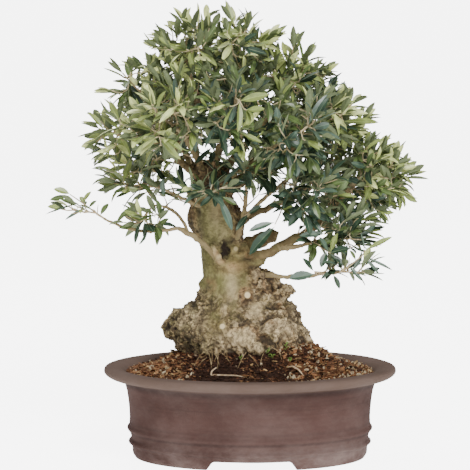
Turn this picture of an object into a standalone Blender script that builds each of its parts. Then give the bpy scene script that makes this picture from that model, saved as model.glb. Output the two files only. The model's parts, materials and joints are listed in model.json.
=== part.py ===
"""Olive bonsai in an oval clay pot, modelled at its real size in metres.

X runs to the right as one faces the tree, Y runs away from the viewer and Z runs up. The origin is on the
ground, under the middle of the whole plant, and the middle of the pot lies POT_X to its right.

The pot, the soil, the trunk and every bough are solids of their own. Each mass of leaves is one solid too:
a stem, the shoots that spring from it by a seeded rule, and the leaves fused on them.
"""

import math
import random
from collections import namedtuple

import bmesh
import bpy
from mathutils import Quaternion, Vector
from mathutils.geometry import intersect_ray_tri

# Clearance between neighbouring solids
GAP = 0.0003

# Pot: an oval bowl whose width runs along X, on two feet parted by an arch in front and behind
POT_X = 0.024
RIM_HALF_WIDTH = 0.220
RIM_HALF_DEPTH = 0.170
OVAL_INSET = RIM_HALF_WIDTH - RIM_HALF_DEPTH
POT_HEIGHT = 0.136
POT_SEGMENTS = 36
FOOT_HEIGHT = 0.0135
FLOOR_UNDERSIDE = 0.016
FLOOR_TOP = 0.026
ARCH_X = POT_X + 0.002
ARCH_TOP_LENGTH = 0.115
ARCH_FOOT_LENGTH = 0.133
MOUTH_HALF_WIDTH = 0.193
# (half width, height) up the outside, over the rim and down the inside to the floor
POT_WALL = (
    (0.1735, 0.000),
    (0.1770, 0.006),
    (0.1785, 0.017),
    (0.1835, 0.023),
    (0.1795, 0.029),
    (0.1812, 0.037),
    (0.1855, 0.044),
    (0.1822, 0.051),
    (0.1880, 0.108),
    (0.1950, 0.1165),
    (0.2130, 0.1205),
    (0.2200, 0.128),
    (0.2180, POT_HEIGHT),
    (MOUTH_HALF_WIDTH, POT_HEIGHT - 0.002),
    (0.1790, 0.112),
    (0.1690, FLOOR_TOP + 0.008),
    (0.1600, FLOOR_TOP),
)
FOOT_INNER_HALF_WIDTH = 0.158

# Soil: fills the pot and is heaped up round the foot of the trunk, highest on the right
SOIL_EDGE_HEIGHT = 0.129
HEAP_X = 0.012
HEAP_HEIGHT = 0.164
HEAP_RISE_RIGHT = 0.010
HEAP_TOP_SHARE = 0.50
SOIL_RINGS = 5

# Trunk: (height, centre x, centre y, half width, half depth) from the flat cut at the soil to the fork
GROUND = 0.160
TRUNK_STATIONS = (
    (GROUND, 0.010, 0.004, 0.094, 0.071),
    (0.190, 0.003, 0.002, 0.088, 0.068),
    (0.218, 0.005, 0.000, 0.087, 0.061),
    (0.242, 0.004, 0.000, 0.057, 0.051),
    (0.270, 0.000, 0.000, 0.046, 0.043),
    (0.300, -0.014, 0.000, 0.033, 0.035),
    (0.326, -0.020, 0.000, 0.032, 0.033),
    (0.362, -0.026, 0.000, 0.040, 0.036),
    (0.396, -0.034, 0.001, 0.029, 0.030),
    (0.440, -0.038, 0.002, 0.021, 0.023),
)
# Burls: (bearing in degrees, height, how far it stands out, half angle in degrees, half height)
BURLS = (
    (182, 0.194, 0.021, 26, 0.019),
    (186, 0.262, 0.007, 14, 0.006),
    (2, 0.250, 0.035, 24, 0.012),
    (-6, 0.183, 0.022, 34, 0.022),
    (-4, 0.272, 0.019, 28, 0.012),
    (232, 0.186, 0.012, 20, 0.014),
    (262, 0.200, 0.010, 16, 0.012),
    (290, 0.176, 0.014, 20, 0.013),
    (318, 0.206, 0.012, 18, 0.012),
    (335, 0.250, 0.010, 16, 0.010),
    (40, 0.205, 0.016, 22, 0.016),
    (85, 0.182, 0.014, 22, 0.018),
    (130, 0.210, 0.014, 24, 0.016),
    (100, 0.250, 0.009, 20, 0.012),
    (182, 0.352, 0.005, 30, 0.016),
)
TRUNK_SIDES = 28
TRUNK_LEVELS = 20
TRUNK_CAP_DROP = 0.006

# Pruned stubs on the trunk: (bearing in degrees, height, tilt upwards in degrees, radius, length past the bark)
STUBS = (
    (299, 0.252, 8, 0.0058, 0.0050),
    (254, 0.206, 14, 0.0052, 0.0040),
    (304, 0.316, 16, 0.0048, 0.0050),
    (222, 0.262, 10, 0.0046, 0.0035),
    (328, 0.262, 10, 0.0058, 0.0040),
)
STUB_SIDES = 8

# A limb tapers along a curve. It leaves its parent's centre line at `root`, a point on the trunk's or a share of
# the way along another limb's, towards `leave` (bearing and rise in degrees), and reaches `tip` on the heading
# `arrive`. `thick` and `thin` are its end radii.
Limb = namedtuple("Limb", "name parent root leave tip arrive thick thin")
LIMBS = (
    Limb("bough_low_left", "trunk", (-0.014, -0.018, 0.286), (238, 40),
         (-0.082, -0.074, 0.353), (184, 24), 0.0048, 0.0034),
    Limb("bough_far_left", "bough_low_left", 1.0, (186, -12),
         (-0.190, -0.083, 0.368), (184, 32), 0.0028, 0.0018),
    Limb("bough_left_rise", "bough_low_left", 0.86, (140, 70),
         (-0.104, -0.064, 0.384), (186, 16), 0.0024, 0.0020),
    Limb("bough_left_mid", "trunk", (-0.028, -0.006, 0.372), (236, 14),
         (-0.092, -0.046, 0.402), (176, 26), 0.0042, 0.0026),
    Limb("bough_upper_left", "trunk", (-0.035, 0.000, 0.412), (196, 34),
         (-0.128, -0.028, 0.484), (176, 34), 0.0066, 0.0040),
    Limb("bough_left_high", "bough_upper_left", 0.52, (168, 62),
         (-0.116, -0.006, 0.524), (166, 52), 0.0040, 0.0028),
    Limb("bough_top_left", "trunk", (-0.041, 0.002, 0.420), (164, 58),
         (-0.062, 0.004, 0.562), (140, 66), 0.0066, 0.0038),
    Limb("bough_top", "trunk", (-0.037, 0.002, 0.424), (30, 84),
         (0.004, 0.004, 0.560), (20, 72), 0.0078, 0.0040),
    Limb("bough_top_right", "trunk", (-0.034, 0.001, 0.412), (12, 46),
         (0.062, 0.004, 0.530), (0, 56), 0.0070, 0.0040),
    Limb("bough_right_high", "trunk", (-0.030, 0.000, 0.390), (-4, 30),
         (0.102, 0.004, 0.476), (6, 40), 0.0074, 0.0042),
    Limb("bough_right_main", "trunk", (-0.012, -0.012, 0.288), (332, 16),
         (0.170, -0.022, 0.404), (24, 52), 0.0086, 0.0044),
    Limb("bough_right_fork", "bough_right_main", 0.40, (352, -4),
         (0.112, -0.047, 0.328), (4, 18), 0.0040, 0.0026),
    Limb("bough_low_right", "trunk", (0.008, -0.010, 0.280), (318, 6),
         (0.122, -0.074, 0.284), (346, 14), 0.0046, 0.0026),
    Limb("bough_right_rise", "trunk", (0.000, -0.014, 0.316), (300, 58),
         (0.018, -0.032, 0.404), (80, 84), 0.0044, 0.0030),
    Limb("bough_rise_fork", "bough_right_rise", 0.55, (340, 42),
         (0.078, -0.036, 0.420), (352, 34), 0.0030, 0.0024),
    Limb("bough_front_low", "trunk", (-0.034, 0.000, 0.392), (284, 20),
         (-0.030, -0.072, 0.410), (262, -16), 0.0032, 0.0022),
    Limb("bough_front_left", "trunk", (-0.037, 0.001, 0.418), (232, 44),
         (-0.078, -0.066, 0.492), (222, 42), 0.0056, 0.0034),
    Limb("bough_front_mid", "trunk", (-0.036, 0.001, 0.424), (282, 52),
         (-0.006, -0.078, 0.506), (280, 40), 0.0056, 0.0034),
    Limb("bough_front_right", "trunk", (-0.033, 0.000, 0.404), (324, 34),
         (0.064, -0.076, 0.478), (316, 34), 0.0060, 0.0036),
    Limb("bough_back_left", "trunk", (-0.036, 0.001, 0.404), (138, 34),
         (-0.096, 0.070, 0.490), (128, 40), 0.0060, 0.0036),
    Limb("bough_back_mid", "trunk", (-0.035, 0.002, 0.412), (84, 46),
         (-0.004, 0.082, 0.514), (82, 42), 0.0062, 0.0036),
    Limb("bough_back_right", "trunk", (-0.032, 0.001, 0.386), (44, 34),
         (0.082, 0.074, 0.476), (38, 36), 0.0064, 0.0038),
    Limb("bough_back_low_left", "trunk", (-0.030, 0.000, 0.362), (148, 24),
         (-0.094, 0.056, 0.416), (150, 24), 0.0046, 0.0030),
    Limb("bough_back_low_right", "trunk", (-0.020, 0.000, 0.340), (30, 26),
         (0.116, 0.062, 0.400), (24, 24), 0.0060, 0.0036),
    Limb("old_stub", "trunk", (-0.006, 0.000, 0.306), (20, 22),
         (0.058, 0.020, 0.333), (16, 22), 0.0130, 0.0110),
)
LIMB_SIDES = 5
LIMB_STATIONS = 5
LIMB_PULL = 0.36

# A mass of leaves keeps to an ellipsoid round `centre` with half axes `reach`, and to its own side of the
# planes halfway to its neighbours. Its stem grows on from the tip of `bough`.
Mass = namedtuple("Mass", "name bough centre reach")
MASSES = (
    Mass("leaves_far_left", "bough_far_left", (-0.232, -0.084, 0.384), (0.054, 0.042, 0.034)),
    Mass("leaves_left_drop", "bough_left_rise", (-0.124, -0.078, 0.366), (0.060, 0.052, 0.044)),
    Mass("leaves_left_low", "bough_left_mid", (-0.142, -0.034, 0.420), (0.073, 0.073, 0.053)),
    Mass("leaves_left_mid", "bough_upper_left", (-0.164, -0.024, 0.488), (0.070, 0.084, 0.057)),
    Mass("leaves_left_high", "bough_left_high", (-0.136, -0.004, 0.556), (0.073, 0.081, 0.062)),
    Mass("leaves_top_left", "bough_top_left", (-0.064, 0.000, 0.620), (0.074, 0.088, 0.066)),
    Mass("leaves_top", "bough_top", (0.014, 0.000, 0.614), (0.073, 0.090, 0.065)),
    Mass("leaves_top_right", "bough_top_right", (0.086, 0.000, 0.572), (0.070, 0.088, 0.064)),
    Mass("leaves_right_high", "bough_right_high", (0.142, 0.002, 0.514), (0.070, 0.088, 0.066)),
    Mass("leaves_right", "bough_right_main", (0.214, -0.010, 0.426), (0.076, 0.086, 0.070)),
    Mass("leaves_right_low", "bough_right_fork", (0.154, -0.044, 0.344), (0.070, 0.070, 0.054)),
    Mass("leaves_low_right", "bough_low_right", (0.166, -0.090, 0.294), (0.064, 0.048, 0.036)),
    Mass("leaves_mid_right", "bough_right_rise", (0.030, -0.048, 0.440), (0.057, 0.062, 0.044)),
    Mass("leaves_under_right", "bough_rise_fork", (0.114, -0.060, 0.406), (0.073, 0.073, 0.059)),
    Mass("leaves_front_low", "bough_front_low", (-0.036, -0.106, 0.414), (0.064, 0.046, 0.040)),
    Mass("leaves_front_left", "bough_front_left", (-0.094, -0.110, 0.514), (0.077, 0.077, 0.077)),
    Mass("leaves_front_mid", "bough_front_mid", (0.000, -0.132, 0.532), (0.075, 0.077, 0.079)),
    Mass("leaves_front_right", "bough_front_right", (0.088, -0.116, 0.498), (0.079, 0.079, 0.077)),
    Mass("leaves_back_left", "bough_back_left", (-0.108, 0.108, 0.520), (0.084, 0.084, 0.084)),
    Mass("leaves_back_mid", "bough_back_mid", (-0.006, 0.132, 0.544), (0.079, 0.081, 0.086)),
    Mass("leaves_back_right", "bough_back_right", (0.094, 0.114, 0.508), (0.084, 0.084, 0.084)),
    Mass("leaves_back_low_left", "bough_back_low_left", (-0.128, 0.066, 0.436), (0.075, 0.070, 0.055)),
    Mass("leaves_back_low_right", "bough_back_low_right", (0.160, 0.082, 0.420), (0.081, 0.075, 0.066)),
)
CROWN_HEART = Vector((-0.010, 0.000, 0.430))

# The rule by which a mass grows
CELL_MARGIN = 0.0012
LIMB_CLEARANCE = 0.0012
SHOOTS = 5
SHOOT_SPACING = 0.033
TRIES = 400
STEM_RADIUS = 0.0022
SHOOT_RADIUS = 0.0015
STEP = 0.032
SIDE_LEAN = 1.4
SUNK_ROOT = 0.55
TWIG_SIDES = 3
LEAF_LENGTH = 0.066
LEAF_WIDTH = 0.028
LEAF_THICKNESS = 0.0010
LEAF_CUP = 0.02
TWIG_CLEARANCE = 0.0024
LEAF_PAIR_STEP = 0.019
LEAF_PAIRS = 3
YOUNG_LEAF = 0.80
LEAF_TRIES = ((1.0, 0), (0.82, 0), (0.9, 32), (0.9, -32), (0.66, 0), (0.72, 60), (0.72, -60), (0.52, 0))
UPWARD_BIAS = 0.45
TIP_SETBACK = 0.50

CLAY = (0.105, 0.052, 0.044, 1.0)
SOIL = (0.060, 0.026, 0.013, 1.0)
TRUNK_BARK = (0.330, 0.280, 0.175, 1.0)
BOUGH_BARK = (0.270, 0.190, 0.110, 1.0)
OLIVE_LEAF = (0.070, 0.125, 0.055, 1.0)


def clear_scene():
    for old in list(bpy.data.objects):
        bpy.data.objects.remove(old)


def material(name, colour, roughness):
    made = bpy.data.materials.new(name)
    made.use_nodes = True
    shader = made.node_tree.nodes["Principled BSDF"]
    shader.inputs["Base Color"].default_value = colour
    shader.inputs["Roughness"].default_value = roughness
    shader.inputs["Metallic"].default_value = 0.0
    made.diffuse_color = colour
    return made


def make_object(name, mesh_data, surface=None):
    """An object made from a bmesh, linked to the scene."""
    mesh = bpy.data.meshes.new(name)
    bmesh.ops.recalc_face_normals(mesh_data, faces=mesh_data.faces)
    mesh_data.to_mesh(mesh)
    mesh_data.free()
    made = bpy.data.objects.new(name, mesh)
    bpy.context.scene.collection.objects.link(made)
    if surface:
        mesh.materials.append(surface)
    return made


def bearing(degrees, rise=0.0):
    """The unit vector at this bearing from +X, turned towards +Y, and this many degrees above level."""
    turn, lift = math.radians(degrees), math.radians(rise)
    return Vector((math.cos(turn) * math.cos(lift), math.sin(turn) * math.cos(lift), math.sin(lift)))


def loft(rings, cap_ends=True):
    """A bmesh skinned over rings of points that all have the same count."""
    skin = bmesh.new()
    loops = [[skin.verts.new(point) for point in ring] for ring in rings]
    for low, high in zip(loops, loops[1:]):
        count = len(low)
        for i in range(count):
            j = (i + 1) % count
            skin.faces.new((low[i], low[j], high[j]))
            skin.faces.new((low[i], high[j], high[i]))
    if cap_ends:
        skin.faces.new(list(reversed(loops[0])))
        skin.faces.new(loops[-1])
    return skin


def cut_away(target, cutter):
    """Takes the cutter out of the target and drops the cutter."""
    tool = target.modifiers.new("cut", "BOOLEAN")
    tool.operation = "DIFFERENCE"
    tool.solver = "EXACT"
    tool.object = cutter
    apply_modifiers(target)
    bpy.data.objects.remove(cutter)


def apply_modifiers(target):
    """Replaces the object's mesh with what its modifiers make of it."""
    graph = bpy.context.evaluated_depsgraph_get()
    graph.update()
    result = bpy.data.meshes.new_from_object(target.evaluated_get(graph))
    target.modifiers.clear()
    target.data = result


def oval_ring(half_width, height, inset=OVAL_INSET, count=POT_SEGMENTS, centre_x=POT_X):
    """Points round an oval of this half width, whose half depth is less by the inset."""
    half_depth = half_width - inset
    turns = [2 * math.pi * i / count for i in range(count)]
    return [Vector((centre_x + half_width * math.cos(t), half_depth * math.sin(t), height)) for t in turns]


def make_pot(clay):
    rings = [oval_ring(FOOT_INNER_HALF_WIDTH, FLOOR_UNDERSIDE), oval_ring(FOOT_INNER_HALF_WIDTH, 0.0)]
    rings += [oval_ring(width, height) for width, height in POT_WALL]
    pot = make_object("pot", loft(rings), clay)
    cut_away(pot, make_arch_cutter())
    pot.data.shade_smooth()
    pot.data.set_sharp_from_angle(angle=math.radians(38))
    return pot


def make_arch_cutter():
    """A bar with sloping ends, run through the pot's foot from front to back."""
    below, reach = -0.010, RIM_HALF_DEPTH + 0.010
    slope = (ARCH_FOOT_LENGTH - ARCH_TOP_LENGTH) / 2 / FOOT_HEIGHT
    low_half = ARCH_FOOT_LENGTH / 2 - slope * below
    top_half = ARCH_TOP_LENGTH / 2
    outline = ((-low_half, below), (low_half, below), (top_half, FOOT_HEIGHT), (-top_half, FOOT_HEIGHT))
    rings = [[Vector((ARCH_X + x, y, z)) for x, z in outline] for y in (-reach, reach)]
    return make_object("arch_cutter", loft(rings))


def soil_height(share, turn):
    """Height of the soil's surface at this share of the way from the heap's middle to the pot's wall."""
    rise = HEAP_HEIGHT + HEAP_RISE_RIGHT * max(0.0, math.cos(turn))
    if share <= HEAP_TOP_SHARE:
        return rise
    slope = (share - HEAP_TOP_SHARE) / (1 - HEAP_TOP_SHARE)
    return rise + (SOIL_EDGE_HEIGHT - rise) * (1 - (1 - slope) ** 1.7)


def make_soil(earth):
    wall = [(width - GAP * 2, height) for width, height in POT_WALL[-4:]]
    floor_ring = oval_ring(wall[-1][0] - 0.002, FLOOR_TOP + GAP)
    side_rings = [oval_ring(width - 0.001, height) for width, height in reversed(wall[1:-1])]
    edge_width = wall[0][0] - 0.0045
    heap = []
    for level in range(SOIL_RINGS + 1):
        share = 1 - level * (1 - HEAP_TOP_SHARE * 0.5) / SOIL_RINGS
        ring = []
        for point in oval_ring(edge_width, 0.0):
            flat = Vector((HEAP_X, 0, 0)).lerp(point, share)
            turn = math.atan2(point.y, point.x - POT_X)
            ring.append(Vector((flat.x, flat.y, soil_height(share, turn))))
        heap.append(ring)
    soil = make_object("soil", loft([floor_ring] + side_rings + heap), earth)
    cut_away(soil, make_trunk_form("pocket_cutter", GAP))
    return soil


def smooth_between(stations, height):
    """The other columns of the stations at this height, on a smooth curve through them."""
    if height <= stations[0][0]:
        return stations[0][1:]
    for i in range(len(stations) - 1):
        low, high = stations[i], stations[i + 1]
        if height <= high[0]:
            before = stations[max(i - 1, 0)]
            after = stations[min(i + 2, len(stations) - 1)]
            t = (height - low[0]) / (high[0] - low[0])
            span = high[0] - low[0]
            values = []
            for column in range(1, len(low)):
                slope_low = (high[column] - before[column]) / (high[0] - before[0])
                slope_high = (after[column] - low[column]) / (after[0] - low[0])
                values.append(
                    (2 * t**3 - 3 * t**2 + 1) * low[column]
                    + (t**3 - 2 * t**2 + t) * span * slope_low
                    + (3 * t**2 - 2 * t**3) * high[column]
                    + (t**3 - t**2) * span * slope_high
                )
            return tuple(values)
    return stations[-1][1:]


def angle_apart(one, other):
    """How far apart two bearings in degrees are, from 0 to 180."""
    return abs((one - other + 180) % 360 - 180)


def trunk_radius(degrees, height):
    """Distance from the trunk's centre line to its bark at this bearing and height, burls included."""
    _, _, half_width, half_depth = smooth_between(TRUNK_STATIONS, height)
    turn = math.radians(degrees)
    radius = 1 / math.hypot(math.cos(turn) / half_width, math.sin(turn) / half_depth)
    for burl_bearing, burl_height, stands_out, half_angle, half_height in BURLS:
        across = angle_apart(degrees, burl_bearing) / half_angle
        along = (height - burl_height) / half_height
        radius += stands_out * math.exp(-across * across - along * along)
    return radius


def make_trunk_form(name, grow=0.0, surface=None):
    """The trunk without its stubs, made larger all round by `grow`."""
    top = TRUNK_STATIONS[-1][0]
    rings = []
    for level in range(TRUNK_LEVELS):
        height = GROUND + (top - GROUND) * level / (TRUNK_LEVELS - 1)
        centre_x, centre_y, _, _ = smooth_between(TRUNK_STATIONS, height)
        middle = Vector((centre_x, centre_y, height if level else height - grow))
        turns = [360 * side / TRUNK_SIDES for side in range(TRUNK_SIDES)]
        rings.append([middle + bearing(turn) * (trunk_radius(turn, height) + grow) for turn in turns])
    crown_x, crown_y, half_width, _ = smooth_between(TRUNK_STATIONS, top)
    domed = [Vector((crown_x, crown_y, top + TRUNK_CAP_DROP + grow)).lerp(p, 0.45) for p in rings[-1]]
    for point in domed:
        point.z = top + TRUNK_CAP_DROP + grow
    rings.append(domed)
    return make_object(name, loft(rings), surface)


def make_stub(index, spec):
    """A pruned twig's stump, sunk in the trunk."""
    degrees, height, tilt, radius, stands_out = spec
    centre_x, centre_y, _, _ = smooth_between(TRUNK_STATIONS, height)
    heading = bearing(degrees, tilt)
    surface = Vector((centre_x, centre_y, height)) + bearing(degrees) * trunk_radius(degrees, height)
    side, up = frame_of(heading)
    rings = []
    for along, size in ((-0.016, 1.5), (0.0, 1.25), (stands_out, 1.0)):
        middle = surface + heading * along
        rings.append(circle(middle, side, up, radius * size, STUB_SIDES))
    return make_object(f"stub_{index}", loft(rings))


def make_trunk(bark):
    trunk = make_trunk_form("trunk", surface=bark)
    stubs = [make_stub(i, spec) for i, spec in enumerate(STUBS)]
    fuse(trunk, stubs, "EXACT")
    trunk.data.shade_smooth()
    return trunk


def frame_of(heading):
    """Two unit vectors square to the heading and to each other."""
    guide = Vector((0, 0, 1)) if abs(heading.z) < 0.9 else Vector((1, 0, 0))
    side = heading.cross(guide).normalized()
    return side, side.cross(heading).normalized()


def circle(centre, side, up, radius, count):
    turns = [2 * math.pi * i / count for i in range(count)]
    return [centre + (side * math.cos(t) + up * math.sin(t)) * radius for t in turns]


def limb_named(name):
    return next(limb for limb in LIMBS if limb.name == name)


def limb_point(limb, share):
    """The limb's centre line, from 0 at its root to 1 at its tip."""
    root = Vector(limb.root) if limb.parent == "trunk" else limb_point(limb_named(limb.parent), limb.root)
    tip = Vector(limb.tip)
    pull = (tip - root).length * LIMB_PULL
    first = root + bearing(*limb.leave) * pull
    last = tip - bearing(*limb.arrive) * pull
    s, r = share, 1 - share
    return root * r**3 + first * (3 * r * r * s) + last * (3 * r * s * s) + tip * s**3


def limb_radius(limb, share):
    return limb.thick + (limb.thin - limb.thick) * share


def sweep(points, radii, sides, grow=0.0, start=None, end=None):
    """A bmesh tube along the points. Its last ring is square to `end`, where that is given."""
    rings = []
    guide = None
    for i, (point, radius) in enumerate(zip(points, radii)):
        ahead = points[min(i + 1, len(points) - 1)]
        behind = points[max(i - 1, 0)]
        heading = (ahead - behind).normalized()
        if i == 0 and start is not None:
            heading = start
        if i == len(points) - 1 and end is not None:
            heading = end
        if guide is None:
            guide, _ = frame_of(heading)
        side = (guide - heading * guide.dot(heading)).normalized()
        guide = side
        rings.append(circle(point, side, side.cross(heading).normalized(), radius + grow, sides))
    return loft(rings)


def make_limb_form(name, limb, grow=0.0, surface=None):
    shares = [i / (LIMB_STATIONS - 1) for i in range(LIMB_STATIONS)]
    points = [limb_point(limb, share) for share in shares]
    radii = [limb_radius(limb, share) for share in shares]
    end = bearing(*limb.arrive)
    points[-1] += end * grow
    return make_object(name, sweep(points, radii, LIMB_SIDES, grow, end=end), surface)


def make_limb(limb, bark):
    """A limb whose root is shaped to the limb or trunk that bears it, a hair's breadth clear."""
    made = make_limb_form(limb.name, limb, surface=bark)
    if limb.parent == "trunk":
        cut_away(made, make_trunk_form("root_cutter", GAP))
    else:
        cut_away(made, make_limb_form("root_cutter", limb_named(limb.parent), GAP))
    keep_largest(made)
    made.data.shade_smooth()
    made.data.set_sharp_from_angle(angle=math.radians(50))
    return made


def islands(mesh_data):
    """The connected groups of vertices of a bmesh."""
    left, groups = set(mesh_data.verts), []
    while left:
        group, edge = set(), [left.pop()]
        while edge:
            vert = edge.pop()
            group.add(vert)
            for link in vert.link_edges:
                other = link.other_vert(vert)
                if other in left:
                    left.remove(other)
                    edge.append(other)
        groups.append(group)
    return groups


def keep_largest(target):
    """Drops loose scraps and fills sealed hollows, so that one closed body is left."""
    body = bmesh.new()
    body.from_mesh(target.data)
    bmesh.ops.triangulate(body, faces=body.faces)
    bmesh.ops.dissolve_degenerate(body, dist=2e-5, edges=body.edges)
    groups = sorted(islands(body), key=len)
    for group in groups[:-1]:
        bmesh.ops.delete(body, geom=list(group), context="VERTS")
    body.to_mesh(target.data)
    body.free()


def fuse(target, others, solver):
    """Joins the others to the target by one union, and removes them."""
    group = bpy.data.collections.new("to_fuse")
    bpy.context.scene.collection.children.link(group)
    for other in others:
        bpy.context.scene.collection.objects.unlink(other)
        group.objects.link(other)
    tool = target.modifiers.new("fuse", "BOOLEAN")
    tool.operation = "UNION"
    tool.operand_type = "COLLECTION"
    tool.solver = solver
    tool.collection = group
    apply_modifiers(target)
    for other in others:
        bpy.data.objects.remove(other)
    bpy.data.collections.remove(group)
    keep_largest(target)


def clear_of_limbs(point, radius, own, start):
    """Whether a ball of this radius stands clear of the trunk and every limb."""
    room = radius + LIMB_CLEARANCE
    height = point.z
    if height < TRUNK_STATIONS[-1][0] + TRUNK_CAP_DROP + room:
        centre_x, centre_y, _, _ = smooth_between(TRUNK_STATIONS, height)
        across = Vector((point.x - centre_x, point.y - centre_y))
        degrees = math.degrees(math.atan2(across.y, across.x))
        if across.length < trunk_radius(degrees, height) + room:
            return False
    for limb in LIMBS:
        if limb.name == own and (point - start).length < 0.012:
            continue
        for (one, one_radius), (two, two_radius) in zip(LIMB_LINES[limb.name], LIMB_LINES[limb.name][1:]):
            run = two - one
            share = min(1.0, max(0.0, (point - one).dot(run) / run.length_squared))
            reach = one_radius + (two_radius - one_radius) * share + room
            if (point - one - run * share).length < reach:
                return False
    return True


def in_cell(mass, point, margin=CELL_MARGIN):
    """Whether the point is nearer this mass's centre than its neighbours', by twice the margin."""
    centre = Vector(mass.centre)
    for other in MASSES:
        if other.name == mass.name:
            continue
        away = Vector(other.centre) - centre
        middle = centre + away / 2
        if (point - middle).dot(away.normalized()) > -margin:
            return False
    return True


def in_reach(mass, point, scale=1.0):
    offset = point - Vector(mass.centre)
    return sum((offset[i] / (mass.reach[i] * scale)) ** 2 for i in range(3)) <= 1.0


def shoot_tips(mass, rng):
    """Where the shoots end: spread evenly over the outer part of the mass, the furthest one first."""
    centre = Vector(mass.centre)
    outward = (centre - CROWN_HEART).normalized()
    inner = [half - LEAF_LENGTH * TIP_SETBACK for half in mass.reach]
    furthest = centre + Vector([outward[i] * max(inner[i], 0.008) for i in range(3)])
    tips = [furthest]
    for _ in range(TRIES):
        if len(tips) == SHOOTS:
            break
        way = Vector([rng.gauss(0, 1) for _ in range(3)]).normalized()
        if way.dot(outward) < -0.35:
            continue
        share = rng.uniform(0.7, 1.0)
        tip = centre + Vector([way[i] * max(inner[i], 0.008) * share for i in range(3)])
        if not in_cell(mass, tip, 0.006):
            continue
        if min((tip - other).length for other in tips) < SHOOT_SPACING * rng.uniform(0.7, 1.0):
            continue
        tips.append(tip)
    return tips


def shoot_heading(mass, tip):
    """The way a shoot points at its tip: out from the heart of the crown, and somewhat upwards."""
    out = (tip - CROWN_HEART).normalized() * 0.7 + (tip - Vector(mass.centre)).normalized() * 0.5
    return (out + Vector((0, 0, UPWARD_BIAS))).normalized()


def grow_shoots(mass, rng):
    """The stem and shoots as lists of (point, radius). Each shoot springs from the nearest one before it."""
    bough = limb_named(mass.bough)
    heading = bearing(*bough.arrive)
    start = Vector(bough.tip) + heading * GAP
    joints = [(start + heading * 0.006, heading)]
    shoots = []
    for tip in shoot_tips(mass, rng):
        end_heading = shoot_heading(mass, tip)
        ranked = sorted(joints, key=lambda joint: (tip - joint[0]).length + 0.3 * (joint[0] - start).length)
        for origin, way in ranked[:6]:
            pull = (tip - origin).length * 0.4
            if pull < 0.006 or way.angle(tip - origin) > math.radians(100):
                continue
            leave = way if not shoots else (way + (tip - origin).normalized() * SIDE_LEAN).normalized()
            first, last = origin + leave * pull, tip - end_heading * pull
            count = max(2, round((tip - origin).length / STEP))
            line = []
            for i in range(count + 1):
                s, r = i / count, 1 - i / count
                line.append(origin * r**3 + first * (3 * r * r * s) + last * (3 * r * s * s) + tip * s**3)
            radii = [STEM_RADIUS + (SHOOT_RADIUS - STEM_RADIUS) * i / count for i in range(count + 1)]
            if shoots:
                radii[0] *= SUNK_ROOT
            else:
                line.insert(0, start)
                radii.insert(0, STEM_RADIUS)
            checked = line[2:] if not shoots else line[1:]
            if all(
                in_cell(mass, p, CELL_MARGIN + STEM_RADIUS)
                and clear_of_limbs(p, STEM_RADIUS * 1.3, mass.bough, start)
                for p in between(checked)
            ):
                shoots.append(list(zip(line, radii)))
                joints += [(line[i], (line[i + 1] - line[i - 1]).normalized()) for i in range(2, len(line) - 1)]
                break
    return start, shoots


def between(points):
    """The points, with the middles of the gaps between them."""
    filled = [points[0]]
    for one, two in zip(points, points[1:]):
        filled += [one.lerp(two, 0.5), two]
    return filled


def leaf_points(root, heading, face, length):
    """Root, tip, two edges and the midrib, which stands out on the underside of the leaf."""
    across = heading.cross(face).normalized() * LEAF_WIDTH / 2 * (0.4 + 0.6 * length / LEAF_LENGTH)
    belly = root + heading * length * 0.52
    return {
        "root": root,
        "tip": root + heading * length - face * length * 0.03,
        "left": belly - across + face * LEAF_WIDTH * LEAF_CUP,
        "right": belly + across + face * LEAF_WIDTH * LEAF_CUP,
        "rib": belly - face * LEAF_THICKNESS,
    }


def make_leaf(points):
    """A six-faced leaf."""
    blade = bmesh.new()
    v = {key: blade.verts.new(point) for key, point in points.items()}
    for one, two in (("left", "right"), ("right", "rib"), ("rib", "left")):
        blade.faces.new((v["root"], v[one], v[two]))
        blade.faces.new((v["tip"], v[two], v[one]))
    return make_object("leaf", blade)


def leaf_places(mass, shoots, rng):
    """Opposite pairs of leaves down each shoot, each pair a quarter turn from the next, and one at its tip."""
    places = []
    for shoot in shoots:
        points = [point for point, _ in shoot]
        heading = (points[-1] - points[-2]).normalized()
        side, up = frame_of(heading)
        turn = rng.uniform(0, math.pi)
        out = up * math.cos(turn) + side * math.sin(turn)
        places.append((points[-1] - heading * 0.003, heading, out, math.radians(4), YOUNG_LEAF))
        for pair in range(LEAF_PAIRS):
            node, along = point_back(points, 0.004 + pair * LEAF_PAIR_STEP)
            spread = math.radians(40 + 12 * pair + rng.uniform(-6, 6))
            size = min(1.0, YOUNG_LEAF + 0.14 * (pair + 1))
            turn += math.pi / 2 + rng.uniform(-0.3, 0.3)
            side, up = frame_of(along)
            for flip in (0, math.pi):
                out = side * math.cos(turn + flip) + up * math.sin(turn + flip)
                places.append((node, along, out, spread, size))
    return places


def point_back(points, distance):
    """The point this far back from the end of a line, and the heading there."""
    for i in range(len(points) - 1, 0, -1):
        run = points[i] - points[i - 1]
        if distance <= run.length or i == 1:
            return points[i] - run.normalized() * min(distance, run.length * 0.9), run.normalized()
        distance -= run.length


def distance_to(one, two, point):
    """How far the point is from the line between two others."""
    run = two - one
    share = min(1.0, max(0.0, (point - one).dot(run) / run.length_squared))
    return (point - one - run * share).length


def pierces(one, two, corners):
    """Whether the line from one point to the other goes through the triangle."""
    run = two - one
    hit = intersect_ray_tri(*corners, run, one, True)
    return hit is not None and (hit - one).dot(run) <= run.length_squared


def halves(points):
    return [(points["root"], points["left"], points["tip"]), (points["root"], points["tip"], points["right"])]


def edges(points):
    ring = [points[key] for key in ("root", "left", "tip", "right", "root")]
    return list(zip(ring, ring[1:]))


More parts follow.
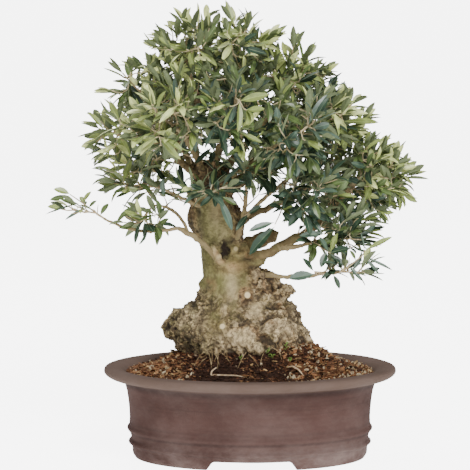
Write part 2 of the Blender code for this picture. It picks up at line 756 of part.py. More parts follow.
def crosses(points, other):
    """Whether two leaves cut through each other."""
    if (points["rib"] - other["rib"]).length > LEAF_LENGTH * 1.1:
        return False
    ours = any(pierces(*edge, half) for edge in edges(points) for half in halves(other))
    return ours or any(pierces(*edge, half) for edge in edges(other) for half in halves(points))


def keeps_to_space(mass, start, points, taken, wood):
    """Whether a leaf stays in its mass and clear of the limbs, the shoots and the leaves already set."""
    outline = [points[key] for key in ("tip", "left", "right", "rib")]
    if not all(in_cell(mass, p) and in_reach(mass, p, 1.03) for p in outline):
        return False
    root, tip = points["root"], points["tip"]
    samples = [root.lerp(tip, share) for share in (0.25, 0.5, 0.75, 1.0)] + [points["left"], points["right"]]
    if not all(clear_of_limbs(p, LEAF_WIDTH * 0.3, mass.bough, start) for p in samples):
        return False
    if any(crosses(points, other) for other in taken):
        return False
    blade = [root.lerp(tip, share) for share in (0.2, 0.35, 0.75)] + outline
    blade += [root.lerp(points[side], 0.5) for side in ("left", "right")]
    if any(distance_to(one, two, p) < TWIG_CLEARANCE for one, two in wood for p in blade):
        return False
    limb = dict(points, root=root.lerp(tip, 0.12))
    return not any(pierces(one, two, half) for one, two in wood for half in halves(limb))


def fit_leaf(mass, start, place, length, taken, wood):
    """The first leaf that keeps to its space at this place, of those tried shorter or turned about the shoot."""
    node, along, out, spread, size = place
    for scale, turned in LEAF_TRIES:
        way = Quaternion(along, math.radians(turned)) @ out
        heading = along * math.cos(spread) + way * math.sin(spread)
        face = along * math.sin(spread) - way * math.cos(spread)
        points = leaf_points(node - heading * SHOOT_RADIUS * 0.4, heading, face, length * size * scale)
        if keeps_to_space(mass, start, points, taken, wood):
            return points
    return None


def make_mass(mass, seed, green):
    """One mass: its stem, shoots and leaves, fused."""
    rng = random.Random(seed)
    start, shoots = grow_shoots(mass, rng)
    bodies = []
    heading = bearing(*limb_named(mass.bough).arrive)
    for number, shoot in enumerate(shoots):
        points = [point for point, _ in shoot]
        radii = [radius for _, radius in shoot]
        first = heading if number == 0 else None
        bodies.append(make_object("twig", sweep(points, radii, TWIG_SIDES, start=first)))
    taken = []
    wood = [(one[0], two[0]) for shoot in shoots for one, two in zip(shoot, shoot[1:])]
    for place in leaf_places(mass, shoots, rng):
        points = fit_leaf(mass, start, place, LEAF_LENGTH * rng.uniform(0.92, 1.06), taken, wood)
        if points:
            bodies.append(make_leaf(points))
            taken.append(points)
    made = bodies.pop(0)
    made.name = mass.name
    made.data.materials.append(green)
    fuse(made, bodies, "MANIFOLD")
    return made


LIMB_LINES = {
    limb.name: [(limb_point(limb, i / 10), limb_radius(limb, i / 10)) for i in range(11)] for limb in LIMBS
}


def main():
    clear_scene()
    clay = material("unglazed_clay", CLAY, 0.62)
    earth = material("potting_soil", SOIL, 0.95)
    trunk_bark = material("trunk_bark", TRUNK_BARK, 0.85)
    bough_bark = material("bough_bark", BOUGH_BARK, 0.80)
    green = material("olive_leaf", OLIVE_LEAF, 0.48)
    make_pot(clay)
    make_soil(earth)
    make_trunk(trunk_bark)
    for limb in LIMBS:
        make_limb(limb, bough_bark)
    for number, mass in enumerate(MASSES):
        make_mass(mass, 100 + number, green)


if __name__ == "__main__":
    main()
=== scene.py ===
"""Olive bonsai in an oval clay pot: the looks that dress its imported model.

Lengths are metres in the model's own frame: X runs to the right as one faces the tree, Y away from the viewer and
Z up, and the origin is on the ground under the middle of the plant. Tables in quotes hold tenths of a millimetre.
"""

import json
import random
from math import atan2, cos, degrees, exp, floor, hypot, pi, radians, sin, sqrt

import bmesh
import bpy
import numpy as np
from bpy.props import FloatProperty, FloatVectorProperty, IntProperty, PointerProperty
from mathutils import Matrix, Quaternion, Vector, noise
from mathutils.geometry import intersect_ray_tri
from mathutils.kdtree import KDTree

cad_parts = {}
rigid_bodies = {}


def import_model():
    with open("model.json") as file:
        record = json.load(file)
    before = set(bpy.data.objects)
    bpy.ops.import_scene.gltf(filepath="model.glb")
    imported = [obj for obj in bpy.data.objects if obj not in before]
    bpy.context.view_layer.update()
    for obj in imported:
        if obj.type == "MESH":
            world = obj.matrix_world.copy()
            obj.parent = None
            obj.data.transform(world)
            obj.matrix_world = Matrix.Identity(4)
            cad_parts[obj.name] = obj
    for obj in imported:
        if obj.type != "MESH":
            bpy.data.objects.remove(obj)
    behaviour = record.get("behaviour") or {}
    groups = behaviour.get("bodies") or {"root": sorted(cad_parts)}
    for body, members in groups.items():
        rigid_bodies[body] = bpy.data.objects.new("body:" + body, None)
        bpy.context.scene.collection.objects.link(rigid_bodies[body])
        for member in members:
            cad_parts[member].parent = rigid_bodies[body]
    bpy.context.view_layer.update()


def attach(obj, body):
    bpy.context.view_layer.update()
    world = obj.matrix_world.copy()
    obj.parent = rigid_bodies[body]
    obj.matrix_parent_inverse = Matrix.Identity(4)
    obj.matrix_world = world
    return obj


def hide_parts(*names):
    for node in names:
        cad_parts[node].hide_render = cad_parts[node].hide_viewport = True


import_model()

bl_info = {
    "name": "Olive Bonsai",
    "version": (1, 0, 0),
    "blender": (4, 5, 0),
    "location": "View3D > Sidebar > Bonsai",
    "description": "Builds an olive bonsai in its oval clay pot round the packed model",
    "category": "Add Mesh",
}

TENTHS = 10000


def rows(text):
    """The numbers of each row of a table, in metres."""
    return [[float(word) / TENTHS for word in row.split()] for row in text.split(";")]


def threes(numbers):
    """The points that a row of numbers stands for."""
    return [Vector(numbers[i : i + 3]) for i in range(0, len(numbers), 3)]


# ---------------------------------------------------------------- sizes that the source states as well

POT_X = 0.024
OVAL_INSET = 0.050
FOOT_INNER_HALF_WIDTH = 0.158
FLOOR_UNDERSIDE = 0.016
# Half width and height up the pot's outside, over its rim and down the inside to the floor
POT_WALL = rows(
    "1735 0; 1770 60; 1785 170; 1835 230; 1795 290; 1812 370; 1855 440; 1822 510; 1880 1100; 1952 1190; 2133 1230;"
    "2200 1293; 2180 1360; 1930 1340; 1790 1120; 1690 340; 1600 260"
)
ARCH_X = POT_X + 0.002
ARCH_TOP_LENGTH = 0.115
ARCH_FOOT_LENGTH = 0.133
ARCH_HEIGHT = 0.0135

SOIL_EDGE_HEIGHT = 0.129
SOIL_HALF_WIDTH = 0.1885
HEAP_X = 0.012
HEAP_HEIGHT = 0.164
HEAP_RISE_RIGHT = 0.010
HEAP_TOP_SHARE = 0.50
HEAP_CURVE = 1.7
# Where the heaped soil meets the bark, and how far loose bits may lie under the bark
BARK_FOOT_HEIGHT, UNDER_BARK = 0.172, 0.006
# Middle (x, y) and half sizes of the damp soil in front
DAMP_X, DAMP_Y, DAMP_HALF_WIDTH, DAMP_HALF_DEPTH = 0.005, -0.105, 0.085, 0.060

# Trunk: height, centre x, centre y, half width, half depth
TRUNK = rows(
    "1600 100 40 940 710; 1900 30 20 880 680; 2180 50 0 870 610; 2420 40 0 570 510; 2700 0 0 460 430;"
    "3000 -140 0 330 350; 3260 -200 0 320 330; 3620 -260 0 400 360; 3960 -340 10 290 300; 4400 -380 20 210 230"
)
TRUNK_FOOT, TRUNK_TOP = TRUNK[0][0], TRUNK[-1][0]
TRUNK_CAP_DROP = 0.006
# No bark is further than this from the trunk's centre line
BARK_REACH = 0.13
# Burls: bearing and half angle in degrees, height, how far it stands out, half height
BURLS = (
    (182, 26, 0.194, 0.021, 0.019), (186, 14, 0.262, 0.007, 0.006), (2, 24, 0.250, 0.035, 0.012),
    (-6, 34, 0.183, 0.022, 0.022), (-4, 28, 0.272, 0.019, 0.012), (232, 20, 0.186, 0.012, 0.014),
    (262, 16, 0.200, 0.010, 0.012), (290, 20, 0.176, 0.014, 0.013), (318, 18, 0.206, 0.012, 0.012),
    (335, 16, 0.250, 0.010, 0.010), (40, 22, 0.205, 0.016, 0.016), (85, 22, 0.182, 0.014, 0.018),
    (130, 24, 0.210, 0.014, 0.016), (100, 20, 0.250, 0.009, 0.012), (182, 30, 0.352, 0.005, 0.016),
)
# Pruned stubs: bearing and upward tilt in degrees, height, radius, length past the bark. The first three are sawn.
STUBS = (
    (288, 8, 0.250, 0.0058, 0.0050), (254, 14, 0.206, 0.0052, 0.0040), (304, 16, 0.316, 0.0048, 0.0050),
    (222, 10, 0.262, 0.0046, 0.0035), (328, 10, 0.262, 0.0058, 0.0040),
)
SAWN = 3
LIMB_PULL = 0.36


def bearing(turn, rise=0.0):
    """The unit vector at this bearing from +X, turned towards +Y, and this many degrees above level."""
    turn, lift = radians(turn), radians(rise)
    return Vector((cos(turn) * cos(lift), sin(turn) * cos(lift), sin(lift)))


def bezier(origin, first, last, tip, s):
    """The point at the share s of the curve that leaves the origin towards `first` and reaches the tip from `last`."""
    r = 1 - s
    return origin * r**3 + first * (3 * r * r * s) + last * (3 * r * s * s) + tip * s**3


class Limb:
    """A tapering limb: its root (a point on the trunk, or a share of another limb), the bearing and rise it
    leaves at, its tip, the bearing and rise it arrives at, and its radii at both ends."""

    def __init__(self, row):
        self.name, self.parent, *numbers = row.split()
        *root, turn, rise, x, y, z, last_turn, last_rise, thick, thin = map(float, numbers)
        self.root = [value / TENTHS for value in root]
        self.leave, self.arrive = bearing(turn, rise), bearing(last_turn, last_rise)
        self.tip = Vector((x / TENTHS, y / TENTHS, z / TENTHS))
        self.thick, self.thin = thick / TENTHS, thin / TENTHS

    def point(self, share):
        """The centre line, from 0 at the root to 1 at the tip."""
        root = Vector(self.root) if self.parent == "trunk" else LIMB_NAMED[self.parent].point(*self.root)
        pull = (self.tip - root).length * LIMB_PULL
        return bezier(root, root + self.leave * pull, self.tip - self.arrive * pull, self.tip, share)

    def radius(self, share):
        return self.thick + (self.thin - self.thick) * share


LIMBS = [Limb(row) for row in """\
bough_low_left trunk -140 -180 2860 238 40 -820 -740 3530 184 24 48 34
bough_far_left bough_low_left 10000 186 -12 -1900 -830 3680 184 32 28 18
bough_left_rise bough_low_left 8600 140 70 -1040 -640 3840 186 16 24 20
bough_left_mid trunk -280 -60 3720 236 14 -920 -460 4020 176 26 42 26
bough_upper_left trunk -350 0 4120 196 34 -1280 -280 4840 176 34 66 40
bough_left_high bough_upper_left 5200 168 62 -1160 -60 5240 166 52 40 28
bough_top_left trunk -410 20 4200 164 58 -620 40 5620 140 66 66 38
bough_top trunk -370 20 4240 30 84 40 40 5600 20 72 78 40
bough_top_right trunk -340 10 4120 12 46 620 40 5300 0 56 70 40
bough_right_high trunk -300 0 3900 -4 30 1020 40 4760 6 40 74 42
bough_right_main trunk -120 -120 2880 332 16 1700 -220 4040 24 52 86 44
bough_right_fork bough_right_main 4000 352 -4 1120 -470 3280 4 18 40 26
bough_low_right trunk 80 -100 2800 318 6 1220 -740 2840 346 14 46 26
bough_right_rise trunk 0 -140 3160 300 58 180 -320 4040 80 84 44 30
bough_rise_fork bough_right_rise 5500 340 42 780 -360 4200 352 34 30 24
bough_front_low trunk -340 0 3920 284 20 -300 -720 4100 262 -16 32 22
bough_front_left trunk -370 10 4180 232 44 -780 -660 4920 222 42 56 34
bough_front_mid trunk -360 10 4240 282 52 -60 -780 5060 280 40 56 34
bough_front_right trunk -330 0 4040 324 34 640 -760 4780 316 34 60 36
bough_back_left trunk -360 10 4040 138 34 -960 700 4900 128 40 60 36
bough_back_mid trunk -350 20 4120 84 46 -40 820 5140 82 42 62 36
bough_back_right trunk -320 10 3860 44 34 820 740 4760 38 36 64 38
bough_back_low_left trunk -300 0 3620 148 24 -940 560 4160 150 24 46 30
bough_back_low_right trunk -200 0 3400 30 26 1160 620 4000 24 24 60 36
old_stub trunk -60 0 3060 20 22 580 200 3330 16 22 130 110""".splitlines()]
LIMB_NAMED = {limb.name: limb for limb in LIMBS}


class Mass:
    """A mass of leaves: an ellipsoid round its centre, on its own side of the planes halfway to its neighbours."""

    def __init__(self, row):
        self.name, self.bough, *numbers = row.split()
        self.centre, self.reach = threes([float(number) / TENTHS for number in numbers])


MASSES = [Mass(row) for row in """\
leaves_far_left bough_far_left -2320 -840 3840 540 420 340
leaves_left_drop bough_left_rise -1240 -780 3660 600 520 440
leaves_left_low bough_left_mid -1420 -340 4200 730 730 530
leaves_left_mid bough_upper_left -1640 -240 4880 700 840 570
leaves_left_high bough_left_high -1360 -40 5560 730 810 620
leaves_top_left bough_top_left -640 0 6200 740 880 660
leaves_top bough_top 140 0 6140 730 900 650
leaves_top_right bough_top_right 860 0 5720 700 880 640
leaves_right_high bough_right_high 1420 20 5140 700 880 660
leaves_right bough_right_main 2140 -100 4260 760 860 700
leaves_right_low bough_right_fork 1540 -440 3440 700 700 540
leaves_low_right bough_low_right 1660 -900 2940 640 480 360
leaves_mid_right bough_right_rise 300 -480 4400 570 620 440
leaves_under_right bough_rise_fork 1140 -600 4060 730 730 590
leaves_front_low bough_front_low -360 -1060 4140 640 460 400
leaves_front_left bough_front_left -940 -1100 5140 770 770 770
leaves_front_mid bough_front_mid 0 -1320 5320 750 770 790
leaves_front_right bough_front_right 880 -1160 4980 790 790 770
leaves_back_left bough_back_left -1080 1080 5200 840 840 840
leaves_back_mid bough_back_mid -60 1320 5440 790 810 860
leaves_back_right bough_back_right 940 1140 5080 840 840 840
leaves_back_low_left bough_back_low_left -1280 660 4360 750 700 550
leaves_back_low_right bough_back_low_right 1600 820 4200 810 750 660""".splitlines()]
CROWN_HEART = Vector((-0.010, 0.000, 0.430))
# Masses that aren't as full as the rest. Half of the number is their share of the usual twigs, and the number,
# where it is below 1, their share of the usual leaves on each twig.
FULLNESS = {
    "leaves_far_left": 0.16, "leaves_low_right": 0.55, "leaves_left_mid": 0.84, "leaves_left_low": 0.86,
    "leaves_left_high": 0.90, "leaves_left_drop": 0.80, "leaves_front_low": 0.72,
    "leaves_right_low": 3.0, "leaves_right": 2.8, "leaves_top": 2.6, "leaves_right_high": 2.5,
}
# Single leaves that show in front of the trunk and boughs: root, tip, width and, in the last column, colour
FRONT_LEAVES = rows(
    "-360 -1000 4110 -860 -1080 4130 105 3; -210 -1010 4100 200 -1080 4100 80 3; -230 -1020 4030 -10 -1120 3540 125 4;"
    "-180 -1010 4020 40 -1060 3910 95 2; -280 -1020 4050 -490 -1080 3880 90 3; 600 -860 3630 210 -980 3530 115 4;"
    "605 -860 3570 195 -960 3190 165 3; 1190 -900 2870 810 -1000 2810 160 4; 1170 -900 2910 1010 -980 3110 95 3;"
    "1010 -880 3815 1425 -980 3640 120 4; 1010 -870 3810 780 -940 3580 125 3; 1040 -820 3760 1120 -950 3460 120 3;"
    "1060 -780 3740 1290 -940 3500 115 3; 1010 -880 3820 930 -970 4060 105 3; 1015 -880 3820 1190 -980 4040 100 2;"
    "1400 -900 3180 1690 -1000 3280 120 3; 1400 -900 3170 1600 -980 3000 110 3; 1360 -860 3210 1270 -970 2980 115 3;"
    "1390 -890 3190 1250 -980 3420 105 4; 1410 -900 3190 1500 -990 3480 120 1; 1200 -620 3270 1160 -800 3050 95 2;"
    "1920 -900 3220 2310 -940 3425 88 1; 1880 -900 3140 2130 -960 2875 64 4; 1895 -900 3130 2325 -980 2945 52 4;"
    "1680 -920 2985 1880 -970 2795 76 4; 1450 -930 2870 1555 -980 2665 86 3; 1580 -930 2925 1490 -990 3120 92 3;"
    "1785 -910 3070 1700 -960 3235 76 2; 1910 -900 3210 1870 -950 3500 40 4; 780 -660 3920 560 -820 4020 95 3;"
    "770 -660 3910 900 -840 3720 105 4; 720 -740 3830 520 -900 3900 100 3; 690 -770 3780 870 -900 3620 110 3;"
    "690 -770 3790 850 -920 3880 85 1; -2390 -860 4040 -2625 -900 4140 110 1; -2400 -870 4020 -2690 -910 3960 88 2;"
    "-2220 -850 3915 -2095 -920 4095 80 1; -2130 -840 3840 -2010 -890 3950 64 2;"
    "-2245 -850 3915 -2760 -940 3770 34 3; -2140 -840 3850 -2480 -920 3690 54 4;"
    "-1740 -820 3600 -1490 -900 3870 90 2; -1960 -830 3720 -1860 -600 3900 80 2; -2180 -840 3880 -2260 -580 4000 82 1"
)
# The twigs that carry them
FRONT_TWIGS = rows(
    "-300 -710 4100 -270 -860 4110 -250 -1000 4060 -240 -1040 4000;"
    "760 -370 4180 740 -600 3980 680 -780 3760 600 -870 3600; 1210 -740 2840 1210 -830 2860 1180 -910 2900;"
    "1180 -900 2900 1340 -930 2890 1460 -930 2875 1580 -930 2920 1700 -920 3000 1800 -910 3080 1880 -900 3145"
    " 1915 -900 3220; 1190 -360 3520 1130 -580 3640 1060 -760 3740 1010 -880 3820;"
    "1120 -470 3280 1220 -660 3270 1320 -820 3230 1405 -900 3180;"
    "-1900 -830 3680 -2055 -840 3790 -2235 -850 3925 -2395 -860 4036"
)


# ---------------------------------------------------------------- the source's rules for form, written again


def frame_of(heading):
    """Two unit vectors square to the heading and to each other."""
    guide = Vector((0, 0, 1)) if abs(heading.z) < 0.9 else Vector((1, 0, 0))
    side = heading.cross(guide).normalized()
    return side, side.cross(heading).normalized()


def trunk_at(height):
    """Centre x and y, half width and half depth of the trunk, on a smooth curve through its stations."""
    if height <= TRUNK_FOOT:
        return TRUNK[0][1:]
    for i, (low, high) in enumerate(zip(TRUNK, TRUNK[1:])):
        if height <= high[0]:
            before, after = TRUNK[max(i - 1, 0)], TRUNK[min(i + 2, len(TRUNK) - 1)]
            span = high[0] - low[0]
            t = (height - low[0]) / span
            return [
                (2 * t**3 - 3 * t**2 + 1) * b
                + (t**3 - 2 * t**2 + t) * span * ((c - a) / (high[0] - before[0]))
                + (3 * t**2 - 2 * t**3) * c
                + (t**3 - t**2) * span * ((d - b) / (after[0] - low[0]))
                for a, b, c, d in zip(before[1:], low[1:], high[1:], after[1:])
            ]
    return TRUNK[-1][1:]


def trunk_radius(facing, height):
    """Distance from the trunk's centre line to its bark at this bearing and height, burls included."""
    _, _, half_width, half_depth = trunk_at(height)
    turn = radians(facing)
    radius = 1 / hypot(cos(turn) / half_width, sin(turn) / half_depth)
    for burl_bearing, half_angle, burl_height, stands_out, half_height in BURLS:
        across = abs((facing - burl_bearing + 180) % 360 - 180) / half_angle
        along = (height - burl_height) / half_height
        radius += stands_out * exp(-across * across - along * along)
    return radius


def on_trunk(facing, height, out=0.0):
    """A point on the trunk's bark, or this far out of it."""
    return Vector((*trunk_at(height)[:2], height)) + bearing(facing) * (trunk_radius(facing, height) + out)


def past_bark(x, y, height, centre_height=None):
    """How far this point is outside the trunk's bark. Far points are measured to the centre line alone."""
    centre_x, centre_y, _, _ = trunk_at(centre_height or height)
    out = hypot(x - centre_x, y - centre_y)
    return out if out > BARK_REACH else out - trunk_radius(degrees(atan2(y - centre_y, x - centre_x)), height)


def oval(half_width, turn, height):
    """A point of the pot's oval of this half width."""
    return Vector((POT_X + half_width * cos(turn), (half_width - OVAL_INSET) * sin(turn), height))


def soil_height(x, y):
    """Height of the soil's surface over this point inside the pot."""
    turn = atan2(y, x - POT_X)
    edge = oval(SOIL_HALF_WIDTH, turn, 0)
    for _ in range(3):
        share = min(1.0, hypot(x - HEAP_X, y) / max(1e-6, hypot(edge.x - HEAP_X, edge.y)))
        turn = atan2(y / (SOIL_HALF_WIDTH - OVAL_INSET), (x - HEAP_X) / SOIL_HALF_WIDTH)
        edge = oval(SOIL_HALF_WIDTH, turn, 0)
    rise = HEAP_HEIGHT + HEAP_RISE_RIGHT * max(0.0, cos(turn))
    if share <= HEAP_TOP_SHARE:
        return rise
    slope = (share - HEAP_TOP_SHARE) / (1 - HEAP_TOP_SHARE)
    return rise + (SOIL_EDGE_HEIGHT - rise) * (1 - (1 - slope) ** HEAP_CURVE)


# ---------------------------------------------------------------- how the crown grows

SHOOTS = 5
SHOOT_SPACING, TWIG_SPACING = 0.033, 0.0160
SHOOT_TRIES, TWIG_TRIES = 400, 900
STEM_RADIUS, SHOOT_RADIUS, SIDE_TWIG_RADIUS, TWIG_THIN, SPUR_THIN = 0.0016, 0.0015, 0.0011, 0.0008, 0.0005
STEM_SETBACK, STEM_LENGTH = 0.004, 0.010
# Usual length of a twig's runs, how far its points stray, and how hard its ends steer it
RUN_LENGTH, TREMOR, TWIG_PULL = 0.009, 0.0007, 0.38
# A twig springs from one of its nearest joints, never at a sharper turn than this
JOINT_TRIES, SHARPEST_TURN = 8, radians(105)
# How much a joint's distance from the bough counts when the nearest is sought
DETOUR = 0.22
# Room to the planes between masses, for the tips and for the rest of a twig
TIP_MARGIN, TWIG_MARGIN = 0.003, 0.0018
# Room round wood for twigs and for leaves, but not this near the bough that they spring from
WOOD_ROOM, LEAF_ROOM, SPRINGING = 0.002, 0.0015, 0.014
SOURCE_SETBACK = 0.033
# In the hollows between masses, twigs may go this much further out
BETWEEN = 1.36
# How far a leaf may reach past the planes between masses
OVERLAP = 0.004
LEAF_PAIR_STEP = 0.0104
# Sizes of the pairs from a twig's tip, as shares of a full-grown leaf
PAIR_SIZES = (0.72, 0.90, 1.0, 1.05, 1.0, 0.94, 0.9)
# What a leaf that is in the way tries: shares of its length, and degrees round its twig
LEAF_TRIES = ((1.0, 0), (0.88, 24), (0.88, -24), (0.74, 0), (0.8, 50), (0.8, -50))
YOUNG, FRESH, MID, DEEP, GREY = range(5)
LEAF_KINDS = ("young", "fresh", "mid", "deep", "grey")


def jitter(rng, size):
    """A random step, about this long each way."""
    return Vector([rng.gauss(0, size) for _ in range(3)])


def cloud_of(points):
    return np.array(points, float).reshape(-1, 3)


class LimbLines:
    """Every limb as short straight runs, for testing what stands clear of them."""

    def __init__(self):
        runs = []
        for owner, limb in enumerate(LIMBS):
            line = [(limb.point(i / 10), limb.radius(i / 10)) for i in range(11)]
            for (one, radius), (two, next_radius) in zip(line, line[1:]):
                runs.append((one, two - one, radius, next_radius - radius, owner))
        self.starts, self.runs, self.radii, self.tapers, self.owners = map(np.array, zip(*runs))
        self.lengths = (self.runs**2).sum(1)

    def clear(self, points, room, own, start):
        """Whether every point stands this far clear of the trunk and the limbs, but for its own one's tip."""
        cloud = cloud_of(points)
        offset = cloud[:, None, :] - self.starts[None]
        share = np.clip((offset * self.runs[None]).sum(2) / self.lengths, 0, 1)
        gap = np.linalg.norm(offset - self.runs[None] * share[..., None], axis=2)
        gap -= self.radii + self.tapers * share + room
        near_start = np.linalg.norm(cloud - np.array(start), axis=1) < SPRINGING
        gap[np.ix_(near_start, self.owners == own)] = 1.0
        top = TRUNK_TOP + TRUNK_CAP_DROP + room
        return gap.min() >= 0 and not any(z < top and past_bark(x, y, z) < room for x, y, z in cloud)


class Cell:
    """The space that a mass keeps to."""

    def __init__(self, mass):
        others = [other for other in MASSES if other is not mass]
        ways = [other.centre - mass.centre for other in others]
        self.centre, self.reach = np.array(mass.centre), np.array(mass.reach)
        self.normals = np.array([way.normalized() for way in ways])
        self.limits = np.array([way.length / 2 for way in ways])
        self.other_centres = np.array([other.centre for other in others])
        self.other_reaches = np.array([other.reach for other in others]) * BETWEEN

    def within(self, points, scale):
        """Whether the points are within the mass's reach, or in the hollow between it and a neighbour."""
        cloud = cloud_of(points)
        own = (((cloud - self.centre) / self.reach) ** 2).sum(1)
        others = (((cloud[:, None] - self.other_centres) / self.other_reaches) ** 2).sum(2).min(1)
        return bool(((own <= scale**2) | ((own <= BETWEEN**2) & (others <= 1.0))).all())

    def holds(self, points, margin, scale=None):
        """Whether the points are on this mass's side of its neighbours, and within its scaled reach if given."""
        offset = cloud_of(points) - self.centre
        inside = ((offset @ self.normals.T) - self.limits).max() <= -margin
        return inside and (scale is None or self.within(points, scale))


def shoot_tips(mass, cell, rng, fine, leaf_length):
    """Where shoots end: first the source's few, the furthest one first, then the finer twigs between them."""
    outward = (mass.centre - CROWN_HEART).normalized()
    setback = min(SOURCE_SETBACK, leaf_length * 0.72)
    inner = [max(half - setback, 0.008) for half in mass.reach]

    def placed(way, share=1.0):
        return mass.centre + Vector([part * half * share for part, half in zip(way, inner)])

    tips = [placed(outward)]
    for wanted, tries, spacing, least, most, behind in (
        (SHOOTS, SHOOT_TRIES, SHOOT_SPACING, 0.70, 1.0, -0.35),
        (SHOOTS + fine, TWIG_TRIES, TWIG_SPACING, 0.30, 1.9, -0.80),
    ):
        for _ in range(tries):
            if len(tips) >= wanted:
                break
            way = jitter(rng, 1).normalized()
            if way.dot(outward) < behind:
                continue
            tip = placed(way, rng.uniform(least, most) ** 0.6)
            if not cell.holds(tip, TIP_MARGIN) or not cell.within(tip + way * setback, 1.0):
                continue
            if min((tip - other).length for other in tips) >= spacing * rng.uniform(0.7, 1.0):
                tips.append(tip)
    return tips


class Twig:
    """A twig's centre line and radii, and how many forks it is from its bough."""

    def __init__(self, points, radii, order=0):
        self.points, self.radii, self.order = points, list(radii), order

    def back(self, distance):
        """The point this far back from the twig's end, and the heading there."""
        for i in range(len(self.points) - 1, 0, -1):
            run = self.points[i] - self.points[i - 1]
            if distance <= run.length or i == 1:
                return self.points[i] - run.normalized() * min(distance, run.length * 0.95), run.normalized()
            distance -= run.length


def grow_twigs(mass, cell, lines, rng, fine, leaf_length):
    """The stem, its shoots and their twigs. Each springs from the nearest joint that points its way."""
    bough = LIMB_NAMED[mass.bough]
    own, heading = LIMBS.index(bough), bough.arrive
    start = bough.tip - heading * STEM_SETBACK
    joints = [(start + heading * STEM_LENGTH, heading, 0)]
    twigs = []
    for tip in shoot_tips(mass, cell, rng, fine, leaf_length):
        out = (tip - CROWN_HEART).normalized() * 0.7 + (tip - mass.centre).normalized() * 0.5
        end_heading = (out + Vector((0, 0, 0.45))).normalized()
        ranked = sorted(joints, key=lambda joint: (tip - joint[0]).length + DETOUR * (joint[0] - start).length)
        for origin, way, order in ranked[:JOINT_TRIES]:
            pull = (tip - origin).length * TWIG_PULL
            if pull < 0.004 or way.angle(tip - origin) > SHARPEST_TURN:
                continue
            leave = (way + (tip - origin).normalized()).normalized() if twigs else way
            count = max(3, round((tip - origin).length / RUN_LENGTH))
            curve = origin, origin + leave * pull, tip - end_heading * pull, tip
            line = [bezier(*curve, i / count) for i in range(count + 1)]
            for i in range(1, count):
                line[i] = line[i] + jitter(rng, TREMOR)
            thick = (STEM_RADIUS, SHOOT_RADIUS, SIDE_TWIG_RADIUS)[min(order, 2)] if twigs else bough.thin * 0.9
            thin = SHOOT_RADIUS * 0.7 if len(twigs) < SHOOTS else TWIG_THIN
            radii = [thin + (thick - thin) * (1 - i / count) ** 1.5 for i in range(count + 1)]
            if not twigs:
                line.insert(0, start)
                radii.insert(0, bough.thin * 0.97)
            checked = line[2:] if twigs else line[3:]
            if cell.holds(checked, TWIG_MARGIN) and lines.clear(checked, WOOD_ROOM, own, start):
                twigs.append(Twig(line, radii, order))
                joints += [
                    (joint, (after - before).normalized(), order + 1)
                    for before, joint, after in zip(line, line[1:], line[2:])
                ]
                break
    return own, start, twigs


class Leaf:
    """One leaf: where it springs, the way it points, the way its upper side faces, its size, colour and bend."""

    def __init__(self, root, heading, face, length, width, kind, bend):
        self.root, self.heading, self.face = root, heading, face
        self.length, self.width, self.kind, self.bend = length, width, kind, bend
        across = heading.cross(face).normalized() * width / 2
        self.belly = root + heading * length * 0.52
        self.tip = root + heading * length - face * length * bend * 0.5
        self.left, self.right = self.belly - across, self.belly + across
        low = root.lerp(self.tip, 0.10)
        ring = (low, self.left, self.tip, self.right)
        self.halves = ((low, self.left, self.tip), (low, self.tip, self.right))
        self.edges = tuple(zip(ring, ring[1:] + ring[:1]))

    def along(self, *shares):
        """Points at these shares of the way from the root to the tip."""
        return tuple(self.root.lerp(self.tip, share) for share in shares)


def pierces(edge, corners):
    """Whether the line from one point to the other goes through the triangle."""
    one, two = edge
    run = two - one
    hit = intersect_ray_tri(*corners, run, one, True)
    return hit is not None and (hit - one).dot(run) <= run.length_squared


class Shelf:
    """Leaves and twigs by the place they are in, so that only near ones are compared."""

    SIZE = 0.022

    def __init__(self):
        self.leaves, self.wood = {}, {}

    def key(self, point):
        return tuple(floor(value / self.SIZE) for value in point)

    def around(self, shelves, point):
        x, y, z = self.key(point)
        for i in range(27):
            yield from shelves.get((x + i // 9 - 1, y + i // 3 % 3 - 1, z + i % 3 - 1), ())

    def add_wood(self, points):
        for one, two in zip(points, points[1:]):
            self.wood.setdefault(self.key((one + two) / 2), []).append((one, two))

    def add_leaf(self, leaf, leaves):
        leaves.append(leaf)
        self.leaves.setdefault(self.key(leaf.belly), []).append(leaf)

    def free(self, leaf):
        """Whether the leaf goes through none of the twigs and leaves already there."""
        if any(pierces(run, half) for run in self.around(self.wood, leaf.belly) for half in leaf.halves):
            return False
        return not any(
            any(pierces(edge, half) for edge in leaf.edges for half in other.halves)
            or any(pierces(edge, half) for edge in other.edges for half in leaf.halves)
            for other in self.around(self.leaves, leaf.belly)
            if (other.belly - leaf.belly).length <= (other.length + leaf.length) * 0.55
        )


def leaf_kind(tip, rng):
    """The colour of a spray: young leaves at the top and the outskirts, deep ones low down in front."""
    away = tip - CROWN_HEART
    out = Vector((away.x, away.y * 0.62, away.z)).length / 0.24
    light = (tip.z - 0.33) / 0.33 * 0.50 + out * 0.48 + rng.gauss(0, 0.26)
    if not -0.06 <= tip.x <= 0.15:
        light += 0.25
    elif tip.z < 0.57:
        light -= 0.20
    if tip.z < 0.47 and tip.x > -0.06:
        light -= 0.14
    if tip.z < 0.395:
        light -= 0.26
    for limit, kind in ((0.93, YOUNG), (0.71, FRESH), (0.50, MID)):
        if light > limit:
            return kind
    return DEEP if rng.random() < 0.66 else GREY


def turned_up(face, heading, share):
    """The face turned about the leaf's length, this share of the way towards the sky."""
    sky = Vector((0, 0, 1)) - heading * heading.z
    if sky.length < 0.15:
        return face
    mixed = face * (1 - share) + sky.normalized() * share
    mixed -= heading * mixed.dot(heading)
    return mixed.normalized() if mixed.length > 0.05 else face


